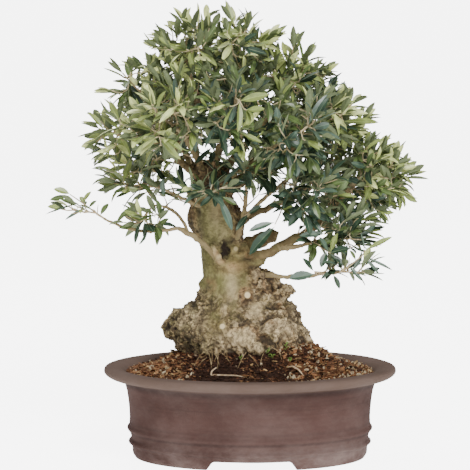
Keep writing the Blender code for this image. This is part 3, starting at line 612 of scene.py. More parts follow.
def sprung(along, angle, spread, lift):
    """Heading and face of a leaf that leaves its twig at this angle round it and spreads this far from it."""
    way = Quaternion(along, angle) @ frame_of(along)[0]
    lead = along * cos(spread) + way * sin(spread)
    return lead, turned_up(along * sin(spread) - way * cos(spread), lead, lift)


def grow_leaves(mass, cell, lines, own, start, twigs, shelf, leaves, rng, sizes):
    """Opposite pairs down each twig, each pair a quarter turn from the next, with small ones at its tip."""
    fullness = FULLNESS.get(mass.name, 1.0)
    for twig in twigs:
        tip, heading = twig.points[-1], (twig.points[-1] - twig.points[-2]).normalized()
        spray, vigour = leaf_kind(tip, rng), rng.uniform(0.80, 1.20)
        younger = max(YOUNG, spray - 1)
        bare, most = (0.45, 6) if twig.order == 0 else (0.22, 5)
        length = sum((two - one).length for one, two in zip(twig.points, twig.points[1:]))
        pairs = min(most, int(length * (1 - bare) / LEAF_PAIR_STEP))
        turn = rng.uniform(0, pi)
        places = [(tip - heading * 0.001, heading, turn, rng.uniform(0.05, 0.22), 0.66, younger)]
        for pair in range(max(1, pairs) + 1):
            node, along = twig.back(0.0015 + pair * LEAF_PAIR_STEP * (0.6 + 0.16 * pair))
            spread = radians(24 + 11 * min(pair, 4) + rng.uniform(-8, 8))
            size = PAIR_SIZES[min(pair, 6)]
            kind = younger if pair == 0 and rng.random() < 0.6 else spray
            if pair and rng.random() < 0.22:
                kind = min(GREY, spray + 1) if rng.random() < 0.7 else younger
            for flip in (0, pi):
                if rng.random() > fullness or (pair > 2 and rng.random() < 0.16):
                    continue
                places.append((node, along, turn + flip, spread + rng.uniform(-0.12, 0.12), size, kind))
            turn += pi / 2 + rng.uniform(-0.35, 0.35)
        for node, along, angle, spread, size, kind in places:
            length = sizes.leaf_length * size * vigour * rng.uniform(0.88, 1.12)
            width = sizes.leaf_width * (0.45 + 0.55 * size) * rng.uniform(0.86, 1.14)
            bend, lift = rng.uniform(-0.05, 0.42), rng.uniform(0.25, 0.75)
            for scale, turned in LEAF_TRIES:
                lead, face = sprung(along, angle + radians(turned), spread, lift)
                leaf = Leaf(node, lead, face, length * scale, width * (0.4 + 0.6 * scale), kind, bend)
                outline = (leaf.tip, leaf.left, leaf.right)
                if not cell.holds(outline, -OVERLAP, 1.05):
                    continue
                if lines.clear(outline + leaf.along(0.35, 0.6, 0.8), LEAF_ROOM, own, start) and shelf.free(leaf):
                    shelf.add_leaf(leaf, leaves)
                    break


def grow_spurs(twigs, cell, rng):
    """Short bare twiglets inside the crown."""
    spurs = []
    for twig in twigs:
        for _ in range(rng.choice((0, 1, 2)) if twig.order < 2 else rng.choice((0, 0, 1))):
            last = len(twig.points) - 1
            i = min(last - 1, int(rng.uniform(0.15, 0.75) * last))
            root, along = twig.points[i], (twig.points[i + 1] - twig.points[i]).normalized()
            side, up = frame_of(along)
            turn = rng.uniform(0, 2 * pi)
            heading = (along * 0.8 + side * cos(turn) + up * sin(turn)).normalized()
            points = wandering(root, heading, rng.uniform(0.008, 0.024), 3, 0.22, rng)
            if cell.holds(points[1:], 0.0, 1.0):
                spurs.append(Twig(points, (0.0010, 0.0009, 0.0007, SPUR_THIN)))
    return spurs


def wandering(root, heading, reach, steps, bend, rng):
    """A line of this reach that starts along the heading and strays from it."""
    points = [root]
    for _ in range(steps):
        heading = (heading + jitter(rng, bend)).normalized()
        points.append(points[-1] + heading * reach / steps)
    return points


# ---------------------------------------------------------------- meshes

# Share of the leaf's length and of its half width, from the stalk to just before the point
LEAF_STATIONS = ((0.09, 0.10), (0.26, 0.64), (0.47, 0.98), (0.69, 0.94), (0.89, 0.52))
RIB_HALF_WIDTH = 0.00055
RIB_DEPTH = 0.00075
UPPER_SIDE, RIB, UNDERSIDE = 0, 1, 2


def finished(name, mesh, finishes, nodes=()):
    """The object that shows this mesh in these finishes, riding on the body and standing for its nodes."""
    mesh.name = name
    piece = bpy.data.objects.new(name, mesh)
    bpy.context.scene.collection.objects.link(piece)
    for surface in finishes:
        mesh.materials.append(surface)
    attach(piece, "root")
    if nodes:
        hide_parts(*nodes)


def mesh_from_arrays(name, points, faces, kinds=None):
    mesh = bpy.data.meshes.new(name)
    mesh.from_pydata(points, [], faces)
    if kinds is not None:
        mesh.polygons.foreach_set("material_index", kinds)
        mesh.shade_smooth()
    mesh.update()
    return mesh


def leaf_mesh(name, leaves):
    """All these leaves as one mesh: each is folded along its rib, bent along its length and pointed."""
    count, stations = len(leaves), len(LEAF_STATIONS)

    def gathered(*keys, shape):
        return [np.array([getattr(leaf, key) for leaf in leaves]).reshape(count, *shape) for key in keys]

    root, heading, face = gathered("root", "heading", "face", shape=(1, 3))
    length, width, bend = gathered("length", "width", "bend", shape=(1,))
    across = np.cross(heading, face)
    fold = 0.16 + 0.26 * np.abs(np.sin(np.arange(count) * 2.3)).reshape(count, 1)
    bow = 0.055 * np.sin(np.arange(count) * 3.7).reshape(count, 1)
    share, half = np.array([(0.0, 0.0), *LEAF_STATIONS, (1.0, 0.0)]).T[:, None]
    half = half * width / 2
    turn = bend * share**2
    forward, drop = length * share * np.cos(turn * 0.6), length * share * np.sin(turn * 0.6)
    spine = root + forward[..., None] * heading - drop[..., None] * face
    spine = spine + (length * bow * share**2)[..., None] * across
    rib = np.minimum(RIB_HALF_WIDTH * (1.15 - 0.75 * share), half * 0.6 + 0.00005)

    def off(width):
        return spine + across * width[..., None] + face * (np.abs(width) * fold)[..., None]

    below = spine - face * (RIB_DEPTH * (1.1 - 0.8 * share))[..., None]
    rings = np.stack([off(-half), off(-rib), off(rib), off(half), below], axis=2)[:, 1:-1]
    points = np.concatenate([spine[:, :1], rings.reshape(count, stations * 5, 3), spine[:, -1:]], axis=1)
    per_leaf = stations * 5 + 2
    last = per_leaf - 6
    faces, kinds = [], []
    for one, two, kind in ((0, 1, UPPER_SIDE), (1, 2, RIB), (2, 3, UPPER_SIDE), (3, 4, UNDERSIDE), (4, 0, UNDERSIDE)):
        faces.append((0, 1 + two, 1 + one))
        for low in range(1, last, 5):
            faces.append((low + one, low + two, low + 5 + two, low + 5 + one))
        faces.append((last + one, last + two, per_leaf - 1))
        kinds += [kind] * (stations + 1)
    all_faces = [tuple(corner + i * per_leaf for corner in corners) for i in range(count) for corners in faces]
    mesh = mesh_from_arrays(name, points.reshape(-1, 3).tolist(), all_faces, kinds * count)
    pairs = np.zeros(len(mesh.edges) * 2, np.int32)
    mesh.edges.foreach_get("vertices", pairs)
    place = pairs.reshape(-1, 2) % per_leaf
    column = (place - 1) % 5
    sharp = (column[:, 0] == column[:, 1]) | ((place == 0) | (place == per_leaf - 1)).any(1)
    mesh.attributes.new("sharp_edge", "BOOLEAN", "EDGE").data.foreach_set("value", sharp)
    return mesh


def tube_mesh(name, twigs, sides):
    """All these twigs as one mesh of tapering tubes, each closed with a point at both ends."""
    points, faces = [], []
    for twig in twigs:
        base, line, last = len(points), twig.points, len(twig.points) - 1
        guide = None
        for i, (centre, radius) in enumerate(zip(line, twig.radii)):
            heading = (line[min(i + 1, last)] - line[max(i - 1, 0)]).normalized()
            guide = guide or frame_of(heading)[0]
            guide = (guide - heading * guide.dot(heading)).normalized()
            up = guide.cross(heading)
            for k in range(sides):
                turn = 2 * pi * k / sides
                points.append(centre + (guide * cos(turn) + up * sin(turn)) * radius)
        points.append(line[0] - (line[1] - line[0]).normalized() * twig.radii[0] * 0.5)
        points.append(line[-1] + heading * twig.radii[-1])
        top, around = base + last * sides, [(k, (k + 1) % sides) for k in range(sides)]
        for low in range(base, top, sides):
            faces += [(low + n, low + k, low + sides + k, low + sides + n) for k, n in around]
        for k, n in around:
            faces += [(base + k, base + n, len(points) - 2), (top + n, top + k, len(points) - 1)]
    return mesh_from_arrays(name, points, faces, [0] * len(faces))


def shaped(name, shape):
    """A mesh from a bmesh, its faces turned outwards."""
    bmesh.ops.recalc_face_normals(shape, faces=shape.faces)
    mesh = bpy.data.meshes.new(name)
    shape.to_mesh(mesh)
    shape.free()
    return mesh


def with_modifiers(mesh, *modifiers):
    """The mesh as these modifiers, each a type and its settings, leave it."""
    holder = bpy.data.objects.new("holder", mesh)
    bpy.context.scene.collection.objects.link(holder)
    for kind, settings in modifiers:
        tool = holder.modifiers.new(kind.lower(), kind)
        for key, value in settings.items():
            setattr(tool, key, value)
    graph = bpy.context.evaluated_depsgraph_get()
    graph.update()
    result = bpy.data.meshes.new_from_object(holder.evaluated_get(graph))
    bpy.data.objects.remove(holder)
    return result


def remeshed(mesh, grain, rounds):
    """The mesh's parts melted into one skin of this grain."""
    return with_modifiers(
        mesh,
        ("REMESH", {"mode": "VOXEL", "voxel_size": grain, "use_smooth_shade": True}),
        ("SMOOTH", {"factor": 0.5, "iterations": rounds}),
    )


def read_points(mesh):
    points, normals = np.zeros(len(mesh.vertices) * 3), np.zeros(len(mesh.vertices) * 3)
    mesh.vertices.foreach_get("co", points)
    mesh.vertex_normals.foreach_get("vector", normals)
    return points.reshape(-1, 3), normals.reshape(-1, 3)


def write_points(mesh, points):
    mesh.vertices.foreach_set("co", points.astype(np.float32).ravel())
    mesh.update()
    mesh.shade_smooth()


def paint(mesh, name, values):
    """Keeps one number a vertex as an attribute, for the material to read."""
    mesh.attributes.new(name, "FLOAT", "POINT").data.foreach_set("value", values.astype(np.float32))


def noise_at(points, scale, octaves=1, offset=0.0):
    """Smooth noise from about -1 to 1 at each point; `scale` is the size of its lumps."""
    shift = Vector((offset, offset * 1.7, offset * 0.6))
    if octaves == 1:
        return np.array([noise.noise(Vector(p) / scale + shift) for p in points])
    return np.array([noise.fractal(Vector(p) / scale + shift, 0.75, 2.0, octaves) for p in points])


def cells_at(points, scale, offset):
    """Distance to the nearest cell centre at each point, in cell sizes."""
    shift = Vector((offset, offset * 1.3, offset * 0.7))
    return np.array([noise.voronoi(Vector(p) / scale + shift)[0][0] for p in points])


def smooth_step(low, high, values):
    t = np.clip((values - low) / (high - low), 0, 1)
    return t * t * (3 - 2 * t)


# ---------------------------------------------------------------- materials


class Nodes:
    """Adds nodes to a tree. A socket given as an input is linked to it, and any other value is set."""

    def __init__(self, tree):
        self.tree = tree

    def feed(self, socket, value):
        if isinstance(value, bpy.types.NodeSocket):
            self.tree.links.new(value, socket)
        else:
            socket.default_value = (*value, 1) if socket.type == "RGBA" else value

    def add(self, kind, inputs=None, **settings):
        node = self.tree.nodes.new("ShaderNode" + kind)
        for key, value in settings.items():
            setattr(node, key, value)
        for key, value in (inputs or {}).items():
            self.feed(node.inputs[key], value)
        return node

    def mix(self, share, one, two):
        """One colour turning into another by the share."""
        return self.add("Mix", {0: share, 6: one, 7: two}, data_type="RGBA", clamp_factor=True).outputs[2]

    def ramp(self, value, low, high, start=0.0, end=1.0):
        """The start's value below low, the end's above high, and smooth between."""
        inputs = {"Value": value, "From Min": low, "From Max": high, "To Min": start, "To Max": end}
        return self.add("MapRange", inputs, interpolation_type="SMOOTHSTEP").outputs["Result"]

    def painted(self, name):
        return self.add("Attribute", attribute_name=name).outputs["Fac"]

    def times(self, *factors):
        """The product of these, by pairs from the left."""
        product = factors[0]
        for factor in factors[1:]:
            product = self.add("Math", {0: product, 1: factor}, operation="MULTIPLY").outputs[0]
        return product

    def placed(self, stretch=1.0):
        """Object coordinates, their height stretched."""
        place = self.add("TexCoord").outputs["Object"]
        return self.add("Mapping", {"Vector": place, "Scale": (1, 1, stretch)}).outputs["Vector"]

    def cloud(self, place, scale, detail, roughness):
        inputs = {"Vector": place, "Scale": scale, "Detail": detail, "Roughness": roughness}
        return self.add("TexNoise", inputs).outputs

    def group(self, tree, **inputs):
        return self.add("Group", inputs, node_tree=tree).outputs[0]

    def mottle(self, place, scale, low, high, ground, blotch):
        """Blotches of one colour on another, from the group that all materials share."""
        return self.group(mottle_group(), Vector=place, Scale=scale, Low=low, High=high, Ground=ground, Blotch=blotch)

    def glow(self, unseen, seen):
        """One strength for the light that falls on things, and another where the camera sees its source."""
        return self.ramp(self.add("LightPath").outputs["Is Camera Ray"], 0.0, 1.0, unseen, seen)


def new_group(name, output, **inputs):
    """An empty node group with these inputs, and an output of this kind that bears its name."""
    tree = bpy.data.node_groups.new(name, "ShaderNodeTree")
    for key, kind in inputs.items():
        tree.interface.new_socket(name=key, in_out="INPUT", socket_type="NodeSocket" + kind)
    tree.interface.new_socket(name=output, in_out="OUTPUT", socket_type="NodeSocket" + output)
    return Nodes(tree), tree.nodes.new("NodeGroupInput").outputs, tree.nodes.new("NodeGroupOutput").inputs[0]


def mottle_group():
    """Blotches of one colour on another."""
    if "mottle" not in bpy.data.node_groups:
        nodes, given, result = new_group(
            "mottle", "Color", Vector="Vector", Scale="Float", Low="Float", High="Float", Ground="Color", Blotch="Color"
        )
        cloud = nodes.cloud(given["Vector"], given["Scale"], 5.0, 0.62)
        share = nodes.ramp(cloud["Fac"], given["Low"], given["High"])
        nodes.feed(result, nodes.mix(share, given["Ground"], given["Blotch"]))
    return bpy.data.node_groups["mottle"]


def grain_group():
    """A fine uneven surface, as a normal."""
    if "grain" not in bpy.data.node_groups:
        nodes, given, result = new_group(
            "grain", "Vector", Vector="Vector", Scale="Float", Strength="Float", Depth="Float"
        )
        cloud = nodes.cloud(given["Vector"], given["Scale"], 6.0, 0.68)
        inputs = {"Strength": given["Strength"], "Distance": given["Depth"], "Height": cloud["Fac"]}
        nodes.feed(result, nodes.add("Bump", inputs).outputs["Normal"])
    return bpy.data.node_groups["grain"]


def new_material(name, roughness, specular):
    """A material, its nodes and its Principled shader, ready for its colour and grain."""
    made = bpy.data.materials.new(name)
    made.use_nodes = True
    shader = made.node_tree.nodes["Principled BSDF"]
    shader.inputs["Roughness"].default_value = roughness
    shader.inputs["Specular IOR Level"].default_value = specular
    return made, Nodes(made.node_tree), shader


def coated(nodes, shader, place, colour, scale, strength, depth):
    """Gives the shader its colour, and a grain of this scale."""
    nodes.feed(shader.inputs["Base Color"], colour)
    grain = nodes.group(grain_group(), Vector=place, Scale=scale, Strength=strength, Depth=depth)
    nodes.feed(shader.inputs["Normal"], grain)


def mottled_material(name, ground, blotch, roughness, scale, grain, depth, strength=0.6, specular=0.4, low=0.42,
                     high=0.62):
    """A plain finish: two close colours in blotches, with a fine grain."""
    made, nodes, shader = new_material(name, roughness, specular)
    place = nodes.placed()
    coated(nodes, shader, place, nodes.mottle(place, scale, low, high, ground, blotch), grain, strength, depth)
    return made


def tint(colour, factor):
    """The colour, this many times as bright."""
    return tuple(min(1.0, channel * factor) for channel in colour)


# Painted shade as darker level bands on the clay, under the rim, under both raised rings and in the groove above the
# upper ring: from, deepest, to, how dark
PAINTED_CLAY_SHADE = rows("1035 1150 1212 8000; 340 385 425 5000; 170 205 240 3800; 500 530 580 2200")


def clay_material(clay, rim_tone, bloom):
    """Unglazed clay: wiped in level streaks, greyer on the rim, with a pale bloom, a few lime specks and painted shade
    under the rim and round the raised rings.
    """
    made, nodes, shader = new_material("unglazed_clay", 0.84, 0.14)
    place = nodes.placed()
    colour = nodes.mottle(place, 11.0, 0.38, 0.66, clay, tint(clay, 1.22))
    streaks = nodes.ramp(nodes.cloud(nodes.placed(26), 7.0, 4.0, 0.6)["Fac"], 0.50, 0.72)
    colour = nodes.mix(nodes.times(streaks, 0.38), colour, tint(clay, 0.72))
    height = nodes.add("SeparateXYZ", {0: place}).outputs["Z"]
    colour = nodes.mix(nodes.times(nodes.ramp(height, 0.112, 0.122), 0.75), colour, rim_tone)
    # Painted shade under the rim and round the raised rings
    for low, peak, high, share in PAINTED_CLAY_SHADE:
        line = nodes.times(nodes.ramp(height, low, peak), nodes.ramp(height, high, peak), share)
        colour = nodes.mix(line, colour, tint(clay, 0.34))
    scuffs = nodes.ramp(nodes.cloud(nodes.placed(1.7), 9.0, 6.0, 0.72)["Fac"], 0.32, 0.80)
    foot = nodes.ramp(height, 0.046, 0.006, 0.26, 1.0)
    colour = nodes.mix(nodes.times(scuffs, foot), colour, bloom)
    specks = nodes.add("TexVoronoi", {"Vector": place, "Scale": 44.0, "Randomness": 1.0}, feature="F1").outputs
    chance = nodes.add("SeparateXYZ", {0: specks["Color"]}).outputs["X"]
    lime = nodes.times(nodes.ramp(specks["Distance"], 0.095, 0.060), nodes.ramp(chance, 0.955, 0.965))
    colour = nodes.mix(lime, colour, (0.62, 0.58, 0.54))
    coated(nodes, shader, place, colour, 420.0, 0.5, 0.0006)
    return made


def trunk_material(bark, cut):
    """Old olive bark: smooth olive-grey faces, cork on the burls, moss, tan new wood, dark bark and knots, painted
    shade in the crevices, the hollow and under the boughs, and painted highlight on the cork's raised tops.
    """
    made, nodes, shader = new_material("trunk_bark", 0.82, 0.25)
    place, rough, pale = nodes.placed(), nodes.painted("rough"), nodes.painted("pale")
    smooth = nodes.mottle(place, 34.0, 0.40, 0.66, bark, tint(bark, 1.55))
    cork = nodes.mottle(place, 165.0, 0.42, 0.58, (0.098, 0.064, 0.030), (0.68, 0.50, 0.255))
    dapple = nodes.mottle(place, 120.0, 0.42, 0.60, (0.092, 0.084, 0.026), (0.36, 0.325, 0.140))
    smooth = nodes.mix(0.42, smooth, dapple)
    streaks = nodes.ramp(nodes.cloud(nodes.placed(0.30), 85.0, 5.0, 0.66)["Fac"], 0.50, 0.68)
    smooth = nodes.mix(nodes.times(streaks, 0.50), smooth, (0.115, 0.088, 0.036))
    flecks = nodes.mottle(place, 210.0, 0.50, 0.60, (0, 0, 0), (1, 1, 1))
    drift = nodes.cloud(place, 48.0, 4.0, 0.6)["Color"]
    bent = nodes.add("VectorMath", {0: drift, 1: (0.030,) * 3, 2: place}, operation="MULTIPLY_ADD").outputs[0]
    plates = nodes.add("TexVoronoi", {"Vector": bent, "Scale": 82.0}, feature="DISTANCE_TO_EDGE")
    seams = nodes.ramp(plates.outputs["Distance"], 0.13, 0.02)
    colour = nodes.mix(rough, smooth, cork)
    for share, tone in (
        (nodes.painted("moss"), (0.165, 0.165, 0.048)),
        (nodes.painted("tan"), (0.41, 0.250, 0.118)),
        # Cream patches, and painted highlight on the cork's raised tops
        (pale, (0.88, 0.70, 0.41)),
        (nodes.times(flecks, 0.16), (0.070, 0.050, 0.028)),
        (nodes.times(seams, rough, 0.72), (0.048, 0.033, 0.019)),
        # More cream on the rough cork, painted highlight on its tops included
        (nodes.times(pale, rough, 0.50), (0.92, 0.72, 0.43)),
        (nodes.times(flecks, rough, 0.68), (0.070, 0.048, 0.027)),
        # Dark bark and knots, and painted shade in the crevices, the hollow and under the boughs and burls
        (nodes.painted("dark"), (0.034, 0.024, 0.016)),
        (nodes.painted("sawn"), cut),
    ):
        colour = nodes.mix(share, colour, tone)
    coated(nodes, shader, place, colour, 330.0, 0.7, 0.0012)
    return made


# ---------------------------------------------------------------- settings


def length_property(name, description, default):
    return FloatProperty(name=name, description=description, default=default, unit="LENGTH")


def count_property(name, description, default, least=0):
    return IntProperty(name=name, description=description, default=default, min=least)


def colour_property(name, description, *default):
    return FloatVectorProperty(
        name=name, description=description, default=default, subtype="COLOR", size=3, min=0.0, max=1.0
    )


class PotSettings(bpy.types.PropertyGroup):
    """Sizes and colours of the pot."""

    segments: count_property("Segments", "Faces round the pot", 144, 24)
    unevenness: length_property("Unevenness", "How far the hand-pressed wall wanders", 0.0005)
    clay: colour_property("Clay", "Colour of the unglazed wall", 0.074, 0.0385, 0.0325)
    rim: colour_property("Rim", "Colour of the greyer rim", 0.138, 0.097, 0.075)
    bloom: colour_property("Bloom", "Colour of the pale bloom on the clay", 0.260, 0.195, 0.176)


class SoilSettings(bpy.types.PropertyGroup):
    """Sizes and colours of the soil."""

    chips: count_property("Chips", "Number of bark chips", 5600)
    crumbs: count_property("Crumbs", "Number of small crumbs", 5200)
    pumice: count_property("Pumice", "Number of pale pumice bits", 230)
    chip_length: length_property("Chip length", "Usual length of a bark chip", 0.0078)
    soil: colour_property("Soil", "Colour of the soil", 0.052, 0.023, 0.013)


class BarkSettings(bpy.types.PropertyGroup):
    """Relief and colours of the trunk and the boughs."""

    trunk_grain: length_property("Trunk mesh grain", "Size of the trunk's remeshed faces", 0.00148)
    bough_grain: length_property("Bough mesh grain", "Size of the boughs' remeshed faces", 0.0010)
    relief: length_property("Relief", "How far the burls' lumps stand out", 0.0048)
    trunk: colour_property("Trunk", "Colour of the smooth bark", 0.140, 0.126, 0.050)
    bough: colour_property("Boughs", "Colour of the boughs", 0.150, 0.110, 0.051)
    cut: colour_property("Cuts", "Colour of a pruned cut", 0.740, 0.600, 0.350)


class CrownSettings(bpy.types.PropertyGroup):
    """Sizes and colours of the twigs and leaves."""

    twigs: count_property("Twigs", "Finer twigs in each mass of leaves", 34)
    leaf_length: length_property("Leaf length", "Length of a full-grown leaf", 0.0435)
    leaf_width: length_property("Leaf width", "Width of a full-grown leaf", 0.0108)
    young: colour_property("Young leaf", "Upper side of the youngest leaves", 0.680, 0.750, 0.290)
    fresh: colour_property("Fresh leaf", "Upper side of this year's leaves", 0.300, 0.372, 0.108)
    mid: colour_property("Leaf", "Upper side of most leaves", 0.104, 0.156, 0.046)
    deep: colour_property("Old leaf", "Upper side of old leaves", 0.030, 0.064, 0.036)
    grey: colour_property("Grey leaf", "Upper side of the greyish old leaves", 0.082, 0.134, 0.096)
    under: colour_property("Underside", "Felted underside of a leaf", 0.152, 0.186, 0.092)
    twig: colour_property("Twig", "Colour of the twigs", 0.390, 0.300, 0.172)


class StageSettings(bpy.types.PropertyGroup):
    """The camera, the floor and the light."""

    distance: length_property("Distance", "Camera to the plant", 3.6)
    elevation: FloatProperty(name="Elevation", description="Camera above level", default=radians(6.0), subtype="ANGLE")
    floor: colour_property("Floor", "Colour of the floor", 0.93, 0.93, 0.92)


# ---------------------------------------------------------------- pot and soil


def curve_through(stations, steps):
    """Points on a smooth curve through the stations, which it meets."""
    ends = [Vector(station) for station in stations]
    line = [ends[0] * 2 - ends[1]] + ends + [ends[-1] * 2 - ends[-2]]
    points = []

    def between(one, two, start, end, t):
        return one * ((end - t) / (end - start)) + two * ((t - start) / (end - start))

    for a, b, c, d in zip(line, line[1:], line[2:], line[3:]):
        t0, t1 = 0.0, sqrt((b - a).length)
        t2 = t1 + sqrt((c - b).length)
        t3 = t2 + sqrt((d - c).length)
        for step in range(steps):
            t = t1 + (t2 - t1) * step / steps
            middle = between(b, c, t1, t2, t)
            abc = between(between(a, b, t0, t1, t), middle, t0, t2, t)
            bcd = between(middle, between(c, d, t2, t3, t), t1, t3, t)
            points.append(between(abc, bcd, t1, t2, t))
    return points + [ends[-1]]


def spun(ring_count, steps, place):
    """A closed skin of rings, where place(ring, turn) gives each point, made by spinning a line."""
    shape = bmesh.new()
    line = [shape.verts.new((ring + 1, 0, 0)) for ring in range(ring_count)]
    runs = [shape.edges.new(pair) for pair in zip(line, line[1:])]
    bmesh.ops.spin(
        shape, geom=line + runs, cent=(0, 0, 0), axis=(0, 0, 1), dvec=(0, 0, 0), angle=2 * pi,
        space=Matrix.Identity(4), steps=steps, use_merge=True, use_normal_flip=False, use_duplicate=False,
    )
    bmesh.ops.remove_doubles(shape, verts=shape.verts, dist=1e-4)
    for vert in shape.verts:
        vert.co = place(round(vert.co.xy.length) - 1, atan2(vert.co.y, vert.co.x))
    bmesh.ops.holes_fill(shape, edges=[edge for edge in shape.edges if edge.is_boundary], sides=0)
    bmesh.ops.triangulate(shape, faces=[face for face in shape.faces if len(face.verts) > 4])
    return shape


class BONSAI_OT_pot(bpy.types.Operator):
    """Build the oval clay pot with its rolled rim, two raised rings and arched foot"""

    bl_idname = "bonsai.pot"
    bl_label = "Clay pot"

    def execute(self, context):
        sizes = context.scene.bonsai_pot
        wall = [Vector((FOOT_INNER_HALF_WIDTH, height)) for height in (FLOOR_UNDERSIDE, 0.0)]
        wall += curve_through(POT_WALL, 5)
        shape = spun(len(wall), sizes.segments, lambda ring, turn: oval(wall[ring].x, turn, wall[ring].y))
        cutter = bpy.data.objects.new("arch_cutter", self.arch())
        context.scene.collection.objects.link(cutter)
        bowl = with_modifiers(
            shaped("bowl", shape),
            ("BOOLEAN", {"operation": "DIFFERENCE", "solver": "EXACT", "object": cutter}),
            ("BEVEL", {"width": 0.0012, "segments": 2, "limit_method": "ANGLE", "angle_limit": radians(48),
                       "profile": 0.5, "material": -1}),
        )
        bpy.data.objects.remove(cutter)
        points, normals = read_points(bowl)
        wander = noise_at(points, 0.06, 1, 3.0) * sizes.unevenness
        wander *= smooth_step(0.001, 0.012, points[:, 2])
        write_points(bowl, points + normals * wander[:, None])
        bowl.set_sharp_from_angle(angle=radians(50))
        finish = clay_material(sizes.clay, sizes.rim, sizes.bloom)
        finished("clay_bowl", bowl, [finish], ["pot"])
        return {"FINISHED"}

    def arch(self):
        """A bar with sloping ends and eased upper edges, which parts the foot in front and behind."""
        shape = bmesh.new()
        bmesh.ops.create_cube(shape, size=2.0)
        low, reach = -0.010, 0.180
        slope = (ARCH_FOOT_LENGTH - ARCH_TOP_LENGTH) / 2 / ARCH_HEIGHT
        for vert in shape.verts:
            half = ARCH_TOP_LENGTH / 2 if vert.co.z > 0 else ARCH_FOOT_LENGTH / 2 - slope * low
            vert.co = (ARCH_X + half * vert.co.x, reach * vert.co.y, ARCH_HEIGHT if vert.co.z > 0 else low)
        upper = [edge for edge in shape.edges if all(v.co.z > 0 and abs(v.co.x - ARCH_X) > 0.01 for v in edge.verts)
                 and abs(edge.verts[0].co.y - edge.verts[1].co.y) > 0.1]
        bmesh.ops.bevel(shape, geom=upper, offset=0.0035, affect="EDGES", segments=4, profile=0.5, material=-1)
        return shaped("arch_cutter", shape)


def turned(angles, i, j):
    """A turn by each angle that takes axis i towards axis j, as matrices."""
    turns = np.tile(np.eye(3), (len(angles), 1, 1))
    turns[:, i, i] = turns[:, j, j] = np.cos(angles)
    turns[:, i, j], turns[:, j, i] = -np.sin(angles), np.sin(angles)
    return turns


def scattered(name, bit, places, sizes, turns, rng):
    """Many small bits as one mesh: each is the shape, stretched, roughened and turned, set at its place."""
    base, bit_faces = np.array(bit[0], float), bit[1]
    stretch = np.array(sizes)[:, None]
    points = base[None] * stretch + rng.normal(0, 0.11, (len(places), len(base), 3)) * stretch
    rolls, pitches, yaws = np.array(turns).T
    matrices = turned(yaws, 0, 1) @ turned(pitches, 2, 0) @ turned(rolls, 1, 2)
    points = np.einsum("nij,nvj->nvi", matrices, points) + np.array(places)[:, None]
    faces = [tuple(k + i * len(base) for k in face) for i in range(len(places)) for face in bit_faces]
    return mesh_from_arrays(name, points.reshape(-1, 3).tolist(), faces)


# Points and faces of a bark chip or bit of pumice, and of a crumb, each about 1 from its middle to its ends
SHARD = (
    (
        (-1, -0.35, -0.5), (-1, 0.25, -0.4), (-0.9, 0.2, 0.3), (-0.9, -0.3, 0.4),
        (0, -1, -0.6), (0, 1, -0.5), (0, 0.8, 0.6), (0, -0.8, 0.5),
        (1, -0.3, -0.3), (1, 0.4, -0.4), (0.9, 0.3, 0.2), (0.9, -0.2, 0.3),
    ),
    (
        (0, 3, 2, 1), (0, 1, 5, 4), (1, 2, 6, 5), (2, 3, 7, 6), (3, 0, 4, 7),
        (4, 5, 9, 8), (5, 6, 10, 9), (6, 7, 11, 10), (7, 4, 8, 11), (8, 9, 10, 11),
    ),
)
CRUMB = (
    ((1, 0, 0), (-1, 0, 0), (0, 1, 0), (0, -1, 0), (0, 0, 1), (0, 0, -1)),
    ((0, 2, 4), (2, 1, 4), (1, 3, 4), (3, 0, 4), (2, 0, 5), (1, 2, 5), (3, 1, 5), (0, 3, 5)),
)


def soil_places(count, margin, ground, rng):
    """Random points of the damp or dry soil that shows: inside the pot's mouth and outside the trunk."""
    places = []
    half_width = SOIL_HALF_WIDTH - margin
    half_depth = half_width - OVAL_INSET
    while len(places) < count:
        x, y = rng.uniform(-half_width, half_width), rng.uniform(-half_depth, half_depth)
        if (x / half_width) ** 2 + (y / half_depth) ** 2 > 1:
            continue
        x += POT_X
        if past_bark(x, y, BARK_FOOT_HEIGHT, TRUNK_FOOT) < -UNDER_BARK:
            continue
        damp = exp(-(((x - DAMP_X) / DAMP_HALF_WIDTH) ** 2) - ((y - DAMP_Y) / DAMP_HALF_DEPTH) ** 2)
        damp += 0.5 * noise.noise(Vector((x, y, 0)) / 0.05)
        if ground == "dry right" and rng.random() > 0.60 + x * 2.5:
            continue
        if rng.random() <= (damp if ground == "damp" else 1.05 - damp):
            places.append((x, y, soil_height(x, y)))
    return places


def chip(rng, usual):
    """Size, turn and lift of a bark chip."""
    size = usual * min(2.4, rng.lognormvariate(-0.15, 0.42)) / 2
    return (
        (size, size * rng.uniform(0.28, 0.62), size * rng.uniform(0.10, 0.26)),
        (rng.gauss(0, 0.32), rng.gauss(0, 0.30), rng.uniform(0, 2 * pi)),
        rng.uniform(-0.0008, 0.0022),
    )


def crumb(rng, _):
    """The same for a crumb."""
    size = rng.uniform(0.0007, 0.0019)
    return (
        (size * rng.uniform(1.0, 1.9), size, size * rng.uniform(0.6, 1.0)),
        (rng.gauss(0, 0.5), rng.gauss(0, 0.5), rng.uniform(0, 2 * pi)),
        rng.uniform(-0.0002, 0.0022),
    )


def any_turn(rng):
    """Random angles about all three axes."""
    return [rng.uniform(0, 2 * pi) for _ in range(3)]


def pumice_bit(rng, _):
    """The same for a bit of pumice, which lies any way up."""
    size = rng.uniform(0.0012, 0.0030)
    return (
        (size * rng.uniform(1.0, 1.9), size, size * rng.uniform(0.45, 0.9)), any_turn(rng), rng.uniform(0.0006, 0.0026)
    )


# The largest pumice bits, where they lie in front: x, y, size
LARGE_PUMICE = rows("830 -1030 36; 880 -1100 42; 790 -1120 30; 940 -1050 28; 740 -1060 24; -640 -780 24")


